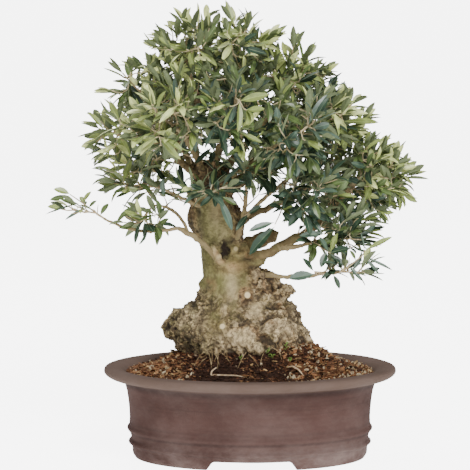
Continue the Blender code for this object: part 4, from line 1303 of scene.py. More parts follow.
class BONSAI_OT_soil(bpy.types.Operator):
    """Fill the pot with soil, heaped round the trunk, with bark chips, crumbs and pumice on it"""

    bl_idname = "bonsai.soil"
    bl_label = "Soil"

    RINGS, STEPS = 44, 168
    SKIRT = ((0.1580, 0.0265), (0.1680, 0.034), (0.1775, 0.112), (0.1868, 0.126))

    def execute(self, context):
        sizes = context.scene.bonsai_soil
        below = len(self.SKIRT)

        def place(ring, turn):
            if ring < below:
                half_width, height = self.SKIRT[ring]
                return oval(half_width, turn, height)
            share = 1 - (ring - below) / (self.RINGS - below - 1) * 0.80
            edge = oval(SOIL_HALF_WIDTH, turn, 0)
            x, y = HEAP_X + (edge.x - HEAP_X) * share, edge.y * share
            return Vector((x, y, soil_height(x, y)))

        mound = shaped("soil_mound", spun(self.RINGS, self.STEPS, place))
        points, _ = read_points(mound)
        top = smooth_step(0.124, 0.129, points[:, 2])
        lumps = noise_at(points, 0.014, 3, 5.0) * 0.0030 + noise_at(points, 0.0045, 2, 9.0) * 0.0012
        points[:, 2] += top * lumps - top * 0.0012
        write_points(mound, points)
        paler = tint(sizes.soil, 1.9)
        earth = mottled_material("potting_soil", sizes.soil, paler, 0.95, 160.0, 520.0, 0.0022, 1.0, 0.15)
        finished("soil_mound", mound, [earth], ["soil"])
        for number, (name, tone, share, ground, large) in enumerate((
            ("chips_rust", (0.270, 0.130, 0.060), 0.28, "dry", 1.00),
            ("chips_umber", (0.130, 0.060, 0.030), 0.22, "dry", 1.05),
            ("chips_tan", (0.430, 0.280, 0.135), 0.23, "dry", 0.85),
            ("chips_dark", (0.042, 0.021, 0.014), 0.26, "damp", 1.00),
        )):
            finish = mottled_material(name, tint(tone, 0.75), tint(tone, 1.45), 0.88, 90.0, 700.0, 0.0007, 0.8, 0.2)
            places = int(sizes.chips * share), 0.0055, ground
            self.strew(name, SHARD, chip, sizes.chip_length * large, places, 40 + number, finish)
        for number, (name, tone, share, ground) in enumerate((
            ("crumbs_dark", (0.046, 0.022, 0.014), 0.55, "damp"),
            ("crumbs_brown", (0.150, 0.062, 0.030), 0.45, "dry"),
        )):
            finish = mottled_material(name, tint(tone, 0.8), tint(tone, 1.5), 0.95, 140.0, 800.0, 0.0006, 0.8, 0.15)
            places = int(sizes.crumbs * share), 0.003, ground
            self.strew(name, CRUMB, crumb, None, places, 60 + number, finish)
        finish = mottled_material(
            "pumice", (0.36, 0.27, 0.165), (0.68, 0.58, 0.40), 0.9, 240.0, 900.0, 0.0008, 0.9, 0.2
        )
        places = sizes.pumice, 0.005, "dry right"
        self.strew("pumice_bits", SHARD, pumice_bit, None, places, 80, finish, LARGE_PUMICE)
        return {"FINISHED"}

    def strew(self, name, shape, bit, usual, places, seed, finish, extra=()):
        """One kind of bits, strewn over the soil, as a piece of its own."""
        rng = random.Random(seed)
        seats, dims, turns = [], [], []
        for x, y, z in soil_places(*places, rng):
            size, turn, lift = bit(rng, usual)
            dims.append(size)
            turns.append(turn)
            seats.append((x, y, z + lift))
        for x, y, size in extra:
            seats.append((x, y, soil_height(x, y) + 0.002))
            dims.append((size * 1.1, size * 0.9, size * 0.6))
            turns.append(any_turn(rng))
        mesh = scattered(name, shape, seats, dims, turns, np.random.default_rng(seed))
        finished(name, mesh, [finish])


class BONSAI_OT_litter(bpy.types.Operator):
    """Lay the bent dry stick, the curled strip, the straw and root at the trunk's foot, and the seedlings"""

    bl_idname = "bonsai.litter"
    bl_label = "Litter and seedlings"

    # Points that the sticks go through (x, y, how far above the soil), and their radii
    STICKS = (
        rows("-260 -940 60 -325 -980 40 -330 -1020 10 -260 -1035 10 -100 -1070 10 40 -1110 20 150 -1140 10;"
             "790 -910 30 860 -920 60 950 -960 50 1020 -1020 10"),
        rows("10 13 15 15 13 12 8; 7 14 15 8"),
    )
    LIFT = 0.0016
    # Bearings round the trunk's foot, and how many straws lean there
    STRAWS = ((236, 6), (250, 5), (268, 2), (300, 3), (328, 4), (150, 3), (40, 4), (95, 4))
    # Where the seedlings stand (x, y), and how tall they are
    SEEDLINGS = rows("500 -720 100; 100 -780 60; 770 -600 120; 830 -760 70; 560 -760 60")

    def execute(self, context):
        sticks = []
        for way, radii in zip(*self.STICKS):
            points = zip(way[::3], way[1::3], way[2::3])
            line = curve_through([(x, y, soil_height(x, y) + up + self.LIFT) for x, y, up in points], 4)
            places = np.linspace(0, len(radii) - 1, len(line))
            sticks.append(Twig(line, np.interp(places, range(len(radii)), radii)))
        finish = mottled_material("dry_stick", (0.42, 0.29, 0.17), (0.66, 0.50, 0.33), 0.8, 150.0, 600.0, 0.0006)
        finished("dry_sticks", tube_mesh("dry_sticks", sticks, 8), [finish])
        rng = random.Random(31)
        straws = []
        for facing, count in self.STRAWS:
            for _ in range(count):
                turn = facing + rng.gauss(0, 8)
                foot = on_trunk(turn, 0.176, rng.uniform(-0.004, 0.001))
                foot.z = soil_height(foot.x, foot.y) + rng.uniform(0.004, 0.012)
                out = bearing(turn + rng.choice((-1, 1)) * rng.uniform(15, 75))
                end = foot + out * rng.uniform(0.010, 0.026)
                end.z = soil_height(end.x, end.y) + rng.uniform(-0.0005, 0.0015)
                middle = foot.lerp(end, 0.5) + Vector((0, 0, rng.uniform(0.000, 0.004)))
                line = curve_through([foot, middle, end], 3)
                straws.append(Twig(line, [0.0005] * (len(line) - 1) + [0.0003]))
        finish = mottled_material("straw", (0.20, 0.13, 0.06), (0.44, 0.33, 0.18), 0.8, 150.0, 600.0, 0.0005)
        finished("straws", tube_mesh("straws", straws, 5), [finish])
        sprigs = []
        for number, (x, y, tall) in enumerate(self.SEEDLINGS):
            stem = Vector((x, y, soil_height(x, y) - 0.001))
            for leaf in range(6):
                lead = bearing(leaf * 137.5 + number * 40, rng.uniform(15, 60))
                face = turned_up(lead.cross(Vector((0.3, 0.2, 1))).normalized(), lead, 0.8)
                root = stem + Vector((0, 0, tall * (0.25 + 0.75 * leaf / 5)))
                sprigs.append(Leaf(root, lead, face, rng.uniform(0.004, 0.007), rng.uniform(0.0028, 0.0042), 0, 0.2))
        green = mottled_material("seedling_leaf", (0.13, 0.24, 0.045), (0.25, 0.38, 0.09), 0.5, 200.0, 700.0, 0.0002)
        finished("seedlings", leaf_mesh("seedlings", sprigs), [green] * 3)
        return {"FINISHED"}


# ---------------------------------------------------------------- trunk and boughs

# Patches on the trunk's front, of each kind: x, z, half width, half height, strength. The dark ones are partly dark
# bark and knots and partly painted shade under the right bough and the knobs, under the left burl, along a crevice, at
# the trunk's foot and in the crotch's hollow.
PATCHES = {
    "pale": rows(
        "-270 3720 100 300 2000; -160 3350 90 200 1600; -30 2620 90 220 3600; 310 2290 110 130 5000;"
        "-20 1840 250 150 8800; 780 2030 220 130 7800; -220 3060 60 70 4200; -300 3170 50 70 4200;"
        "860 2220 80 80 3500; -580 2120 160 140 4200"
    ),
    "smooth": rows(
        "-260 2140 180 320 7000; 80 1900 180 140 6000; 800 1960 120 100 4000; -220 3450 300 600 10000;"
        "-120 2620 280 320 10000; 310 2290 120 130 8000; 0 2360 160 200 8000"
    ),
    "tan": rows(
        "0 2920 220 120 8500; -180 3010 90 70 8500; -270 3120 70 80 8500; 220 3100 180 100 7000;"
        "360 2620 160 180 5500; 60 1760 240 100 5500; 800 1800 300 120 6000; 620 2460 200 160 4500;"
        "-200 3900 100 200 5000; -280 2060 100 100 4500; -360 2680 60 50 6000; 260 2520 170 120 8000;"
        "900 2150 200 160 5000; 500 2820 180 140 6000"
    ),
    "moss": rows(
        "-280 2050 180 340 6000; -360 3000 120 200 4500; -260 2460 200 160 3500; -850 2050 140 200 4000;"
        "-450 1720 200 100 5000"
    ),
    # Dark bark and knots, and painted shade under the right bough, the knobs and the left burl, along a crevice, at the
    # trunk's foot and in the hollow
    "dark": rows(
        "-110 3160 50 130 5000; -40 3280 120 70 8500; 160 3220 80 35 7000; -500 3450 60 220 8000;"
        "-520 3720 50 140 8500; 300 2900 140 40 8500; 200 3020 120 50 8500; 440 2770 110 90 9000;"
        "-375 2620 80 60 7000; 260 2640 60 60 5000; -60 2390 140 50 7000; 120 2300 100 80 7500;"
        "340 2140 140 60 8000; 420 2030 90 100 7500; 560 2620 100 70 6000; 0 2220 100 60 6500;"
        "-500 1960 90 240 6500; -700 1700 300 70 8500; -600 1840 160 140 7500; -850 1760 120 100 6000;"
        "520 1860 70 140 5000; 660 2430 220 45 5500; 520 2900 140 80 5000; -420 2470 60 100 5500;"
        "-280 1660 400 50 6000"
    ),
    "plain": rows("500 2830 180 160 10000"),
}


def patch_mask(points, kind):
    """How far each point lies in the front patches of this kind, from 0 to 1."""
    x, z = points[:, 0], points[:, 2]
    found = np.zeros(len(points))
    for middle_x, middle_z, half_width, half_height, strength in PATCHES[kind]:
        near = np.exp(-(((x - middle_x) / half_width) ** 2) - ((z - middle_z) / half_height) ** 2)
        found = np.maximum(found, near * strength)
    return found * (1 - smooth_step(-0.012, 0.012, points[:, 1]))


def bump(values, middle, half, power=4):
    """1 at the middle, falling away to nothing past the half width."""
    return np.exp(-(((values - middle) / half) ** power))


def faded(low, high, *noise_settings):
    """Noise as a share: 0 below low and 1 above high."""
    return smooth_step(low, high, noise_at(*noise_settings))


def ridged(*noise_settings):
    """Noise that rises to sharp ridges."""
    return 1 - 2 * np.abs(noise_at(*noise_settings))


def bark_start(limb):
    """Share along a limb from the trunk at which its centre line comes out of the trunk."""
    return next((i / 100 for i in range(100) if past_bark(*limb.point(i / 100)) > -0.002), 0.0)


class BONSAI_OT_trunk(bpy.types.Operator):
    """Model the trunk with its burls, hollow, collars and cork, in the source's form"""

    bl_idname = "bonsai.trunk"
    bl_label = "Trunk"

    LEVELS, SIDES = 120, 150
    # How far above the trunk's top its last two rings are, and their share of its radius
    CAP = ((0.003, 0.82), (TRUNK_CAP_DROP, 0.45))
    # How much stouter a bough is where it leaves the trunk, step by step
    FLARE = (2.1, 1.75, 1.42, 1.18, 1.02, 0.82)
    # The ridge down the face, the swollen crotch and its ledge: x, y, z and radius, point by point
    SWELLINGS = rows(
        "100 -280 2900 130 -60 -335 2920 115 -180 -360 3000 100 -260 -400 3120 70 -340 -470 3240 56;"
        "-120 -240 2900 120 80 -260 2920 145 260 -260 2970 120 420 -300 3030 90;"
        "-60 -300 3090 45 60 -340 3080 45 160 -320 3110 45"
    )
    SWELLING_STEPS = 4

    def execute(self, context):
        sizes = context.scene.bonsai_bark

        def place(ring, turn):
            facing = degrees(turn)
            if ring >= self.LEVELS:
                lift, share = self.CAP[ring - self.LEVELS]
                centre = Vector((*trunk_at(TRUNK_TOP)[:2], TRUNK_TOP + lift))
                return centre + bearing(facing) * trunk_radius(facing, TRUNK_TOP) * share
            return on_trunk(facing, TRUNK_FOOT + (TRUNK_TOP - TRUNK_FOOT) * ring / (self.LEVELS - 1))

        form = spun(self.LEVELS + 2, self.SIDES, place)
        for part in (self.growths(), self.stubs()):
            form.from_mesh(part)
        wood = remeshed(shaped("bark_trunk", form), sizes.trunk_grain, 4)
        self.relief(wood, sizes.relief)
        finished("bark_trunk", wood, [trunk_material(sizes.trunk, sizes.cut)], ["trunk"])
        return {"FINISHED"}

    def growths(self):
        """The collars where boughs leave the trunk, the left one's ridge down its face and the swollen crotch."""
        twigs = []
        for limb in LIMBS:
            if limb.parent == "trunk":
                start = max(0.0, bark_start(limb) - 0.10)
                shares = [start + i * 0.05 for i in range(len(self.FLARE))]
                radii = [limb.radius(share) * flare for share, flare in zip(shares, self.FLARE)]
                twigs.append(Twig([limb.point(share) for share in shares], radii))
        for way in self.SWELLINGS:
            line = curve_through(zip(way[::4], way[1::4], way[2::4]), self.SWELLING_STEPS)
            stations = range(0, len(line), self.SWELLING_STEPS)
            twigs.append(Twig(line, list(np.interp(range(len(line)), stations, way[3::4]))))
        return tube_mesh("growths", twigs, 14)

    def stubs(self):
        twigs = []
        for facing, tilt, height, radius, length in STUBS:
            surface, heading = on_trunk(facing, height), bearing(facing, tilt)
            shares = ((-0.014, 2.9), (-0.004, 2.5), (0.0005, 1.9), (length * 0.6, 1.15), (length, 1.0))
            twigs.append(Twig([surface + heading * along for along, _ in shares], [radius * r for _, r in shares]))
        return tube_mesh("stubs", twigs, 14)

    def relief(self, wood, deep):
        """Sculpts the bark and paints where it is rough, pale, tan, mossy or dark. The dark paint is partly painted
        shade in the relief's recesses, creases, fissures, wrinkles and hollow, and the pale paint partly painted
        highlight on the cork's raised tops.
        """
        points, normals = read_points(wood)
        x, y, z = points.T
        front = y < 0
        # Where the bark is knobbly cork, and where it is fluted old wood
        smooth = patch_mask(points, "smooth")
        right_bulge = smooth_step(0.012, 0.034, x) * (1 - smooth_step(0.284, 0.296, z))
        burl = np.maximum(1 - smooth_step(0.238, 0.266, z), right_bulge) * (1 - 0.85 * smooth)
        turn = np.degrees(np.arctan2(y, x - np.interp(z, *np.array(TRUNK).T[:2]))) % 360
        flank = np.clip(np.maximum.reduce([
            bump((turn + 180) % 360 - 180, -12, 42) * smooth_step(0.318, 0.332, z),
            bump(turn, 196, 24) * smooth_step(0.322, 0.336, z) * 0.9,
            smooth_step(0.386, 0.402, z) * 0.95,
            bump(turn, 90, 60, 2) * smooth_step(0.27, 0.30, z) * 0.7,
        ]), 0, 1)
        # The cork's lumps and folds, and the old wood's ridges
        warped = points + np.stack([noise_at(points, 0.022, 2, k * 9.0) for k in range(3)], axis=1) * 0.010
        billows = np.abs(noise_at(points, 0.030, 3, 15.0))
        folds = np.abs(noise_at(points * (1, 1, 0.75), 0.016, 3, 5.0))
        fine = noise_at(points, 0.0052, 4, 2.0)
        lumps = (0.46 - cells_at(warped, 0.025, 1.0)) * deep * 1.55
        lumps += (0.42 - cells_at(warped, 0.0120, 4.0)) * deep * 0.75 * faded(-0.25, 0.35, points, 0.034, 1, 51.0)
        lumps += (billows - 0.22) * 0.0095 + (folds - 0.2) * 0.0036
        ridges = ridged(np.stack([turn / 360 * 34, z / 0.020, np.zeros(len(z))], axis=1), 1.0, 3, 6.0)
        # The cut ends of the pruned stubs, and the collars of new bark round them
        cut, ring = np.zeros(len(points)), np.zeros(len(points))
        for facing, tilt, height, radius, length in STUBS:
            end = on_trunk(facing, height) + bearing(facing, tilt) * length
            away = np.linalg.norm(points - np.array(end), axis=1)
            cut = np.maximum(cut, bump(away, 0, radius * 1.35))
            collar = bump(away, radius * 1.70, radius * 0.75) * (1.0 if radius > 0.0055 else 0.30)
            ring = np.maximum(ring, collar * faded(-0.80, -0.10, points, 0.006, 3, 88.0))
        # The hollow beside the low bough, and the wrinkles under the crotch
        ragged = noise_at(points, 0.0055, 3, 77.0) * 0.0050
        hollow = bump(x + ragged, -0.0130, 0.0066) * bump(z - ragged, 0.3165, 0.0148) * front
        wrinkles = ridged(points * (1, 1, 2.2), 0.0085, 3, 83.0)
        crotch = smooth_step(0.272, 0.284, z)
        height = burl * (lumps + fine * 0.0014) + noise_at(points, 0.030, 2, 8.0) * 0.0018 + fine * 0.00062
        height += wrinkles * 0.0011 * crotch * (1 - smooth_step(0.330, 0.345, z)) * front
        height = height * (1 - cut) + flank * ((ridges - 0.3) * 0.0022 + fine * 0.0008) - hollow * 0.0080
        moved = points + normals * height[:, None]
        foot = (1 - smooth_step(0.160, 0.166, z))[:, None]
        moved = moved * (1 - foot) + points * foot
        # The first stubs end in flat sawn faces
        sawn = np.zeros(len(points))
        for facing, tilt, level, radius, length in STUBS[:SAWN]:
            heading = np.array(bearing(facing, tilt))
            offset = moved - np.array(on_trunk(facing, level))
            along = offset @ heading
            off_line = np.linalg.norm(offset - along[:, None] * heading, axis=1)
            over = np.clip(along - length, 0, None) * (off_line < radius * 1.5)
            moved = moved - over[:, None] * heading
            face = (1 - smooth_step(radius * 0.66, radius * 0.86, off_line)) * (0.5 if level > 0.3 else 1.0)
            sawn = np.maximum(sawn, face * smooth_step(length - 0.0018, length - 0.0008, along))
        write_points(wood, moved)
        # Colours. Dark holds dark bark, knots and specks, and painted shade in the relief's hollows; pale holds cream
        # patches and painted highlight on the cork's tops
        left = smooth_step(0.030, -0.040, x)
        speckle, patchy = faded(0.02, 0.42, points, 0.0055, 3, 12.0), noise_at(points, 0.018, 3, 20.0)
        cracks, pits = 1 - smooth_step(0.0, 0.075, billows), 1 - smooth_step(0.0, 0.10, folds)
        dark = np.maximum.reduce([
            patch_mask(points, "dark") * (0.74 + 0.26 * speckle),
            # Painted shade in the cork's creases, then in its recesses
            burl * (cracks * 0.55 + pits * 0.30) * 0.9,
            burl * smooth_step(0.0012, -0.0026, height) * 0.92,
            burl * speckle * (0.38 + 0.28 * left) * (1 - smooth),
            burl * faded(0.10, 0.45, points, 0.013, 4, 61.0) * (0.34 + 0.16 * left),
            burl * (1 - smooth) * faded(0.12, 0.40, points, 0.026, 3, 93.0) * 0.55,
            # Painted shade in the fissures between the flank's ridges
            flank * smooth_step(0.35, -0.30, ridges) * 0.85,
            flank * (0.30 + 0.45 * smooth_step(-0.35, 0.25, patchy)),
            # Painted shade in the hollow
            hollow * 1.15,
            speckle * 0.34 * smooth_step(-0.2, 0.3, patchy),
            ring * (0.20 + 0.75 * speckle),
            # Painted shade in the valleys of the crotch's wrinkles
            (1 - burl) * smooth_step(0.30, -0.20, wrinkles) * 0.30 * crotch,
        ]) * (1 - 0.55 * patch_mask(points, "pale"))
        tan = np.maximum.reduce([
            patch_mask(points, "tan") * (0.62 + 0.38 * smooth_step(-0.3, 0.3, patchy)),
            flank * smooth_step(0.20, 0.85, ridges) * 0.60,
            burl * smooth_step(-0.05, 0.40, patchy) * (0.84 - 0.60 * left),
            ring * 0.95,
        ])
        moss = np.maximum.reduce([
            patch_mask(points, "moss"),
            faded(0.0, 0.6, points, 0.026, 2, 31.0) * 0.45,
            burl * left * 0.66 * faded(-0.35, 0.35, points, 0.011, 3, 71.0),
        ])
        pale = np.maximum.reduce([
            patch_mask(points, "pale"),
            burl * faded(0.14, 0.44, points, 0.0095, 3, 44.0) * (0.74 - 0.42 * left),
            # Painted highlight on the cork's raised tops
            burl * smooth_step(0.0010, 0.0034, height) * (0.62 - 0.40 * left),
        ]) * (1 - ring) * (1 - patch_mask(points, "plain") * 0.85) * (1 - cracks * burl)
        rough = np.maximum(burl, flank * 0.85)
        for name, values in (("rough", rough), ("dark", dark), ("tan", tan), ("moss", moss), ("pale", pale),
                             ("sawn", sawn)):
            paint(wood, name, np.clip(values, 0, 1))


class BONSAI_OT_boughs(bpy.types.Operator):
    """Sweep the boughs along the source's curves, blend their forks and give them bark"""

    bl_idname = "bonsai.boughs"
    bl_label = "Boughs"

    RIGHT = ("bough_right_high", "bough_right_main", "bough_right_fork", "bough_low_right", "bough_right_rise",
             "bough_rise_fork", "bough_front_right", "bough_top_right", "bough_back_right", "bough_back_low_right",
             "old_stub")
    STATIONS = 16
    SAMPLES = 40

    def execute(self, context):
        sizes = context.scene.bonsai_bark
        bark = mottled_material("bough_bark", sizes.bough, tint(sizes.bough, 1.45), 0.8, 70.0, 420.0, 0.0009, 0.8, 0.25,
                                0.40, 0.64)
        nodes, base = Nodes(bark.node_tree), bark.node_tree.nodes["Principled BSDF"].inputs["Base Color"]
        colour = nodes.mix(nodes.painted("olive"), base.links[0].from_socket, (0.150, 0.130, 0.050))
        colour = nodes.mix(nodes.times(nodes.painted("young"), 0.80), colour, (0.400, 0.310, 0.170))
        nodes.feed(base, colour)
        for name, right, seed in (("bark_boughs_left", False, 5), ("bark_boughs_right", True, 6)):
            limbs = [limb for limb in LIMBS if (limb.name in self.RIGHT) == right]
            lines = tube_mesh(name, [self.line(limb, seed) for limb in limbs], 14)
            wood = remeshed(lines, sizes.bough_grain, 3)
            points, normals = read_points(wood)
            swell = noise_at(points, 0.0046, 2, 3.0) * 0.00042 + noise_at(points, 0.016, 2, 7.0) * 0.0007
            write_points(wood, points + normals * (swell + 0.00025)[:, None])
            samples = [(limb, i / (self.SAMPLES - 1)) for limb in limbs for i in range(self.SAMPLES)]
            near = KDTree(len(samples))
            for i, (limb, share) in enumerate(samples):
                near.insert(limb.point(share), i)
            near.balance()
            thick = np.array([limb.radius(share) for limb, share in samples])
            thick = thick[[near.find(point)[1] for point in points]]
            young = (1 - smooth_step(0.0028, 0.0058, thick)) * (0.70 + 0.30 * noise_at(points, 0.012, 2, 23.0))
            paint(wood, "young", young)
            paint(wood, "olive", faded(-0.1, 0.4, points, 0.02, 2, 29.0) * 0.6)
            finished(name, wood, [bark], [limb.name for limb in limbs])
        return {"FINISHED"}

    def line(self, limb, seed):
        """The limb's curve, with slight swellings at its old leaf joints."""
        rng = random.Random(seed * 100 + LIMBS.index(limb))
        start = max(0.0, bark_start(limb) - 0.10) if limb.parent == "trunk" else 0.0
        shares = [start + (1 - start) * i / self.STATIONS for i in range(self.STATIONS + 1)]
        points = [limb.point(share) for share in shares]
        wander = limb.thick * (0.0 if limb.name == "old_stub" else 0.13)
        for i in range(2, self.STATIONS - 1):
            points[i] = points[i] + jitter(rng, wander)
        radii = [limb.radius(share) * (1 + rng.gauss(0, 0.05)) for share in shares]
        if limb.name == "old_stub":
            radii = [radius * (1.0 + 0.14 * sin(i * 1.3)) for i, radius in enumerate(radii)]
            radii[-1] *= 0.92
        return Twig(points, radii)


# ---------------------------------------------------------------- crown


class BONSAI_OT_crown(bpy.types.Operator):
    """Grow the twigs, sprays and leaves of every mass on from its bough's tip, by the source's rule"""

    bl_idname = "bonsai.crown"
    bl_label = "Twigs and leaves"

    # The mass that the number of finer twigs is stated for, and the fewest that any mass has
    USUAL_MASS = 0.075 * 0.080 * 0.070
    FEWEST = 3

    def execute(self, context):
        sizes = context.scene.bonsai_crown
        lines, shelf = LimbLines(), Shelf()
        twigs, spurs, leaves, grown = [], [], [], []
        for number, mass in enumerate(MASSES):
            rng, cell = random.Random(100 + number), Cell(mass)
            fine = round(sizes.twigs * mass.reach.x * mass.reach.y * mass.reach.z / self.USUAL_MASS) + self.FEWEST
            if mass.name in FULLNESS:
                fine = round(fine * FULLNESS[mass.name] * 0.5)
            own, start, some = grow_twigs(mass, cell, lines, rng, fine, sizes.leaf_length)
            if not some:
                raise RuntimeError(f"{mass.name} grew no twig from {mass.bough}")
            for twig in some:
                shelf.add_wood(twig.points)
            grown.append((mass, cell, own, start, some, rng))
            twigs += some
        for way in FRONT_TWIGS:
            line = curve_through(threes(way), 4)
            spurs.append(Twig(line, list(np.linspace(STEM_RADIUS, TWIG_THIN, len(line)))))
            shelf.add_wood(line)
        for row in FRONT_LEAVES:
            self.add_front_leaf(*threes(row[:6]), row[6], round(row[7] * TENTHS), shelf, leaves)
        spurs += self.inner_twigs(sizes, lines, shelf, leaves)
        for mass, cell, own, start, some, rng in grown:
            grow_leaves(mass, cell, lines, own, start, some, shelf, leaves, rng, sizes)
            spurs += grow_spurs(some, cell, rng)
        self.show(sizes, twigs, spurs, leaves)
        return {"FINISHED"}

    def show(self, sizes, twigs, spurs, leaves):
        """Twigs and leaves, each kind and colour a piece that stands for all the masses."""
        nodes = [mass.name for mass in MASSES]
        straw = [channel * more for channel, more in zip(sizes.twig, (1.62, 1.78, 1.85))]
        shoots = [twig for twig in twigs if twig.order == 0] + spurs
        fine = [twig for twig in twigs if twig.order > 0]
        brown = mottled_material("twig_bark", sizes.twig, tint(sizes.twig, 1.5), 0.8, 110.0, 500.0, 0.0005)
        green = mottled_material("young_twig", tint(straw, 0.8), tint(straw, 1.2), 0.7, 110.0, 500.0, 0.0004)
        for name, some, sides, finish in (("twigs_brown", shoots, 6, brown), ("twigs_young", fine, 5, green)):
            finished(name, tube_mesh(name, some, sides), [finish], nodes)
        under = mottled_material("leaf_underside", sizes.under, tint(sizes.under, 1.2), 0.72, 240.0, 900.0, 0.0001)
        for kind, word in enumerate(LEAF_KINDS):
            colour = getattr(sizes, word)
            upper = mottled_material(
                "leaf_" + word, tint(colour, 0.82), tint(colour, 1.22), 0.37, 60.0, 600.0, 0.00015, 0.4, 0.62
            )
            paler, palest = (
                tint([channel + more for channel, more in zip(colour, added)], factor)
                for added, factor in (((0.06, 0.07, 0.04), 1.1), ((0.10, 0.11, 0.06), 1.2))
            )
            rib = mottled_material("leaf_rib_" + word, paler, palest, 0.5, 90.0, 600.0, 0.0001)
            some = [leaf for leaf in leaves if leaf.kind == kind]
            finished("foliage_" + word, leaf_mesh("foliage_" + word, some), [upper, rib, under], nodes)

    def add_front_leaf(self, root, tip, width, kind, shelf, leaves):
        """A listed leaf, its upper side turned to the front."""
        lead = (tip - root).normalized()
        face = turned_up(lead.cross(Vector((1, 0, 0))).normalized(), lead, 1.0)
        face = (face + Vector((0.1, -1.3, 0))).normalized()
        face = (face - lead * face.dot(lead)).normalized()
        shelf.add_leaf(Leaf(root, lead, face, (tip - root).length, width, kind, 0.12), leaves)

    def inner_twigs(self, sizes, lines, shelf, leaves):
        """Short twigs straight from the boughs inside the crown, some with an old leaf or two."""
        rng = random.Random(77)
        found = []
        for own, limb in enumerate(LIMBS):
            if limb.name == "old_stub" or limb.tip.z < 0.37:
                continue
            first = 0.30 if limb.tip.z > 0.45 else 0.50
            for _ in range(round((limb.tip - limb.point(0.0)).length * (1 - first) / 0.0085)):
                share = rng.uniform(first, 0.97)
                root = limb.point(share)
                along = (limb.point(share + 0.02) - root).normalized()
                side, up = frame_of(along)
                turn = rng.uniform(0, 2 * pi)
                heading = (along * 0.7 + side * cos(turn) + up * sin(turn) + Vector((0, 0, 0.25))).normalized()
                reach = rng.uniform(0.016, 0.044)
                points = wandering(root + heading * limb.radius(share) * 0.6, heading, reach, 4, 0.20, rng)
                if points[-1].z < root.z or not lines.clear(points[2:], LEAF_ROOM, own, root):
                    continue
                found.append(Twig(points, [0.0013, 0.0011, 0.0010, 0.0008, SPUR_THIN]))
                shelf.add_wood(points)
                for pair in range(rng.choice((0, 1, 1, 2))):
                    angle, kind = rng.uniform(0, pi), rng.choice((MID, DEEP, DEEP, GREY))
                    node, way = found[-1].back(0.001 + pair * 0.011)
                    for flip in (0, pi):
                        lead, face = sprung(way, angle + flip, radians(rng.uniform(26, 50)), rng.uniform(0.3, 0.8))
                        leaf = Leaf(node, lead, face, sizes.leaf_length * rng.uniform(0.6, 0.95),
                                    sizes.leaf_width * rng.uniform(0.75, 1.0), kind, rng.uniform(0, 0.4))
                        body = leaf.along(0.35, 0.6, 0.8, 1.0) + (leaf.left, leaf.right)
                        if lines.clear(body, LEAF_ROOM, own, root) and shelf.free(leaf):
                            shelf.add_leaf(leaf, leaves)
        return found


# ---------------------------------------------------------------- stage


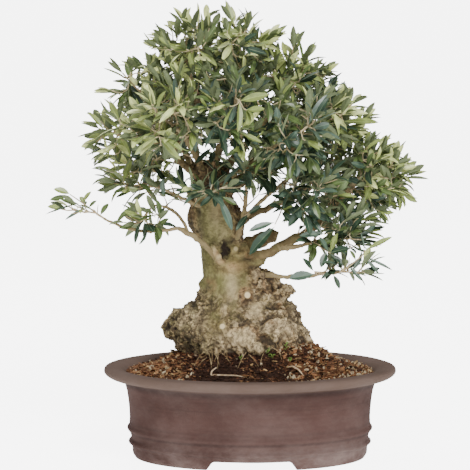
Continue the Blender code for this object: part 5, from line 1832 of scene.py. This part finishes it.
class BONSAI_OT_stage(bpy.types.Operator):
    """Set the camera at the photograph's angle, with a pale floor and soft studio light"""

    bl_idname = "bonsai.stage"
    bl_label = "Camera, floor and light"

    AIM = Vector((0.0015, 0.0, 0.335))
    # The sensor's width in millimetres, and what the photograph's width spans at the plant
    SENSOR, SPAN = 36.0, 470 * 0.0015
    FLOOR_REACH, FLOOR_DROP = 400.0, 0.0004
    # Strength of the floor's and the sky's glow: on the plant, and where the camera sees it
    FLOOR_GLOW, SKY_GLOW = (1.15, 6.0), (0.29, 3.6)
    # Place, size and power of each light
    LIGHTS = {
        "key": ((0.85, -2.5, 2.5), 1.1, 112.0),
        "fill": ((-2.3, -1.7, 1.2), 1.6, 4.0),
        "rim": ((-0.7, 1.6, 2.6), 1.2, 30.0),
    }

    def execute(self, context):
        scene, sizes = context.scene, context.scene.bonsai_stage
        lens = bpy.data.cameras.new("camera")
        lens.sensor_width = self.SENSOR
        lens.lens = self.SENSOR * sizes.distance / self.SPAN
        lens.clip_end = 1500
        back = Vector((0, -cos(sizes.elevation), sin(sizes.elevation)))
        scene.camera = self.aimed("camera", lens, self.AIM + back * sizes.distance)

        shape = bmesh.new()
        bmesh.ops.create_grid(shape, x_segments=2, y_segments=2, size=self.FLOOR_REACH)
        bmesh.ops.translate(shape, vec=(0, 0, -self.FLOOR_DROP), verts=shape.verts)
        floor = bpy.data.objects.new("floor", shaped("floor", shape))
        scene.collection.objects.link(floor)
        pale, nodes, shader = new_material("floor", 0.9, 0.1)
        nodes.feed(shader.inputs["Base Color"], sizes.floor)
        nodes.feed(shader.inputs["Emission Color"], (1, 1, 1))
        nodes.feed(shader.inputs["Emission Strength"], nodes.glow(*self.FLOOR_GLOW))
        floor.data.materials.append(pale)

        scene.world = bpy.data.worlds.new("studio")
        scene.world.use_nodes = True
        nodes = Nodes(scene.world.node_tree)
        sky = nodes.tree.nodes["Background"].inputs
        nodes.feed(sky["Color"], (1, 1, 1))
        nodes.feed(sky["Strength"], nodes.glow(*self.SKY_GLOW))
        for name, (place, size, power) in self.LIGHTS.items():
            lamp = bpy.data.lights.new(name, "AREA")
            lamp.size, lamp.energy = size, power
            self.aimed(name, lamp, Vector(place))
        return {"FINISHED"}

    def aimed(self, name, data, place):
        """A camera or light at this place, turned to the plant."""
        made = bpy.data.objects.new(name, data)
        made.location = place
        made.rotation_euler = (self.AIM - place).to_track_quat("-Z", "Y").to_euler()
        bpy.context.scene.collection.objects.link(made)
        return made


class BONSAI_PT_panel(bpy.types.Panel):
    """Lists the steps that build the bonsai, and its sizes and colours"""

    bl_idname = "BONSAI_PT_panel"
    bl_label = "Olive Bonsai"
    bl_space_type = "VIEW_3D"
    bl_region_type = "UI"
    bl_category = "Bonsai"

    def draw(self, context):
        for step in STEPS:
            self.layout.operator(step.bl_idname)
        for key, settings in SETTINGS.items():
            box = self.layout.box()
            for name in settings.__annotations__:
                box.prop(getattr(context.scene, key), name)


SETTINGS = {
    "bonsai_pot": PotSettings, "bonsai_soil": SoilSettings, "bonsai_bark": BarkSettings,
    "bonsai_crown": CrownSettings, "bonsai_stage": StageSettings,
}
STEPS = (
    BONSAI_OT_stage, BONSAI_OT_pot, BONSAI_OT_soil, BONSAI_OT_litter, BONSAI_OT_trunk, BONSAI_OT_boughs,
    BONSAI_OT_crown,
)


def register():
    for made in (*SETTINGS.values(), *STEPS, BONSAI_PT_panel):
        bpy.utils.register_class(made)
    for key, settings in SETTINGS.items():
        setattr(bpy.types.Scene, key, PointerProperty(type=settings))


def unregister():
    for key in SETTINGS:
        delattr(bpy.types.Scene, key)
    for made in reversed((*SETTINGS.values(), *STEPS, BONSAI_PT_panel)):
        bpy.utils.unregister_class(made)


def main():
    register()
    for step in STEPS:
        area, name = step.bl_idname.split(".")
        getattr(getattr(bpy.ops, area), name)()


if __name__ == "__main__":
    main()
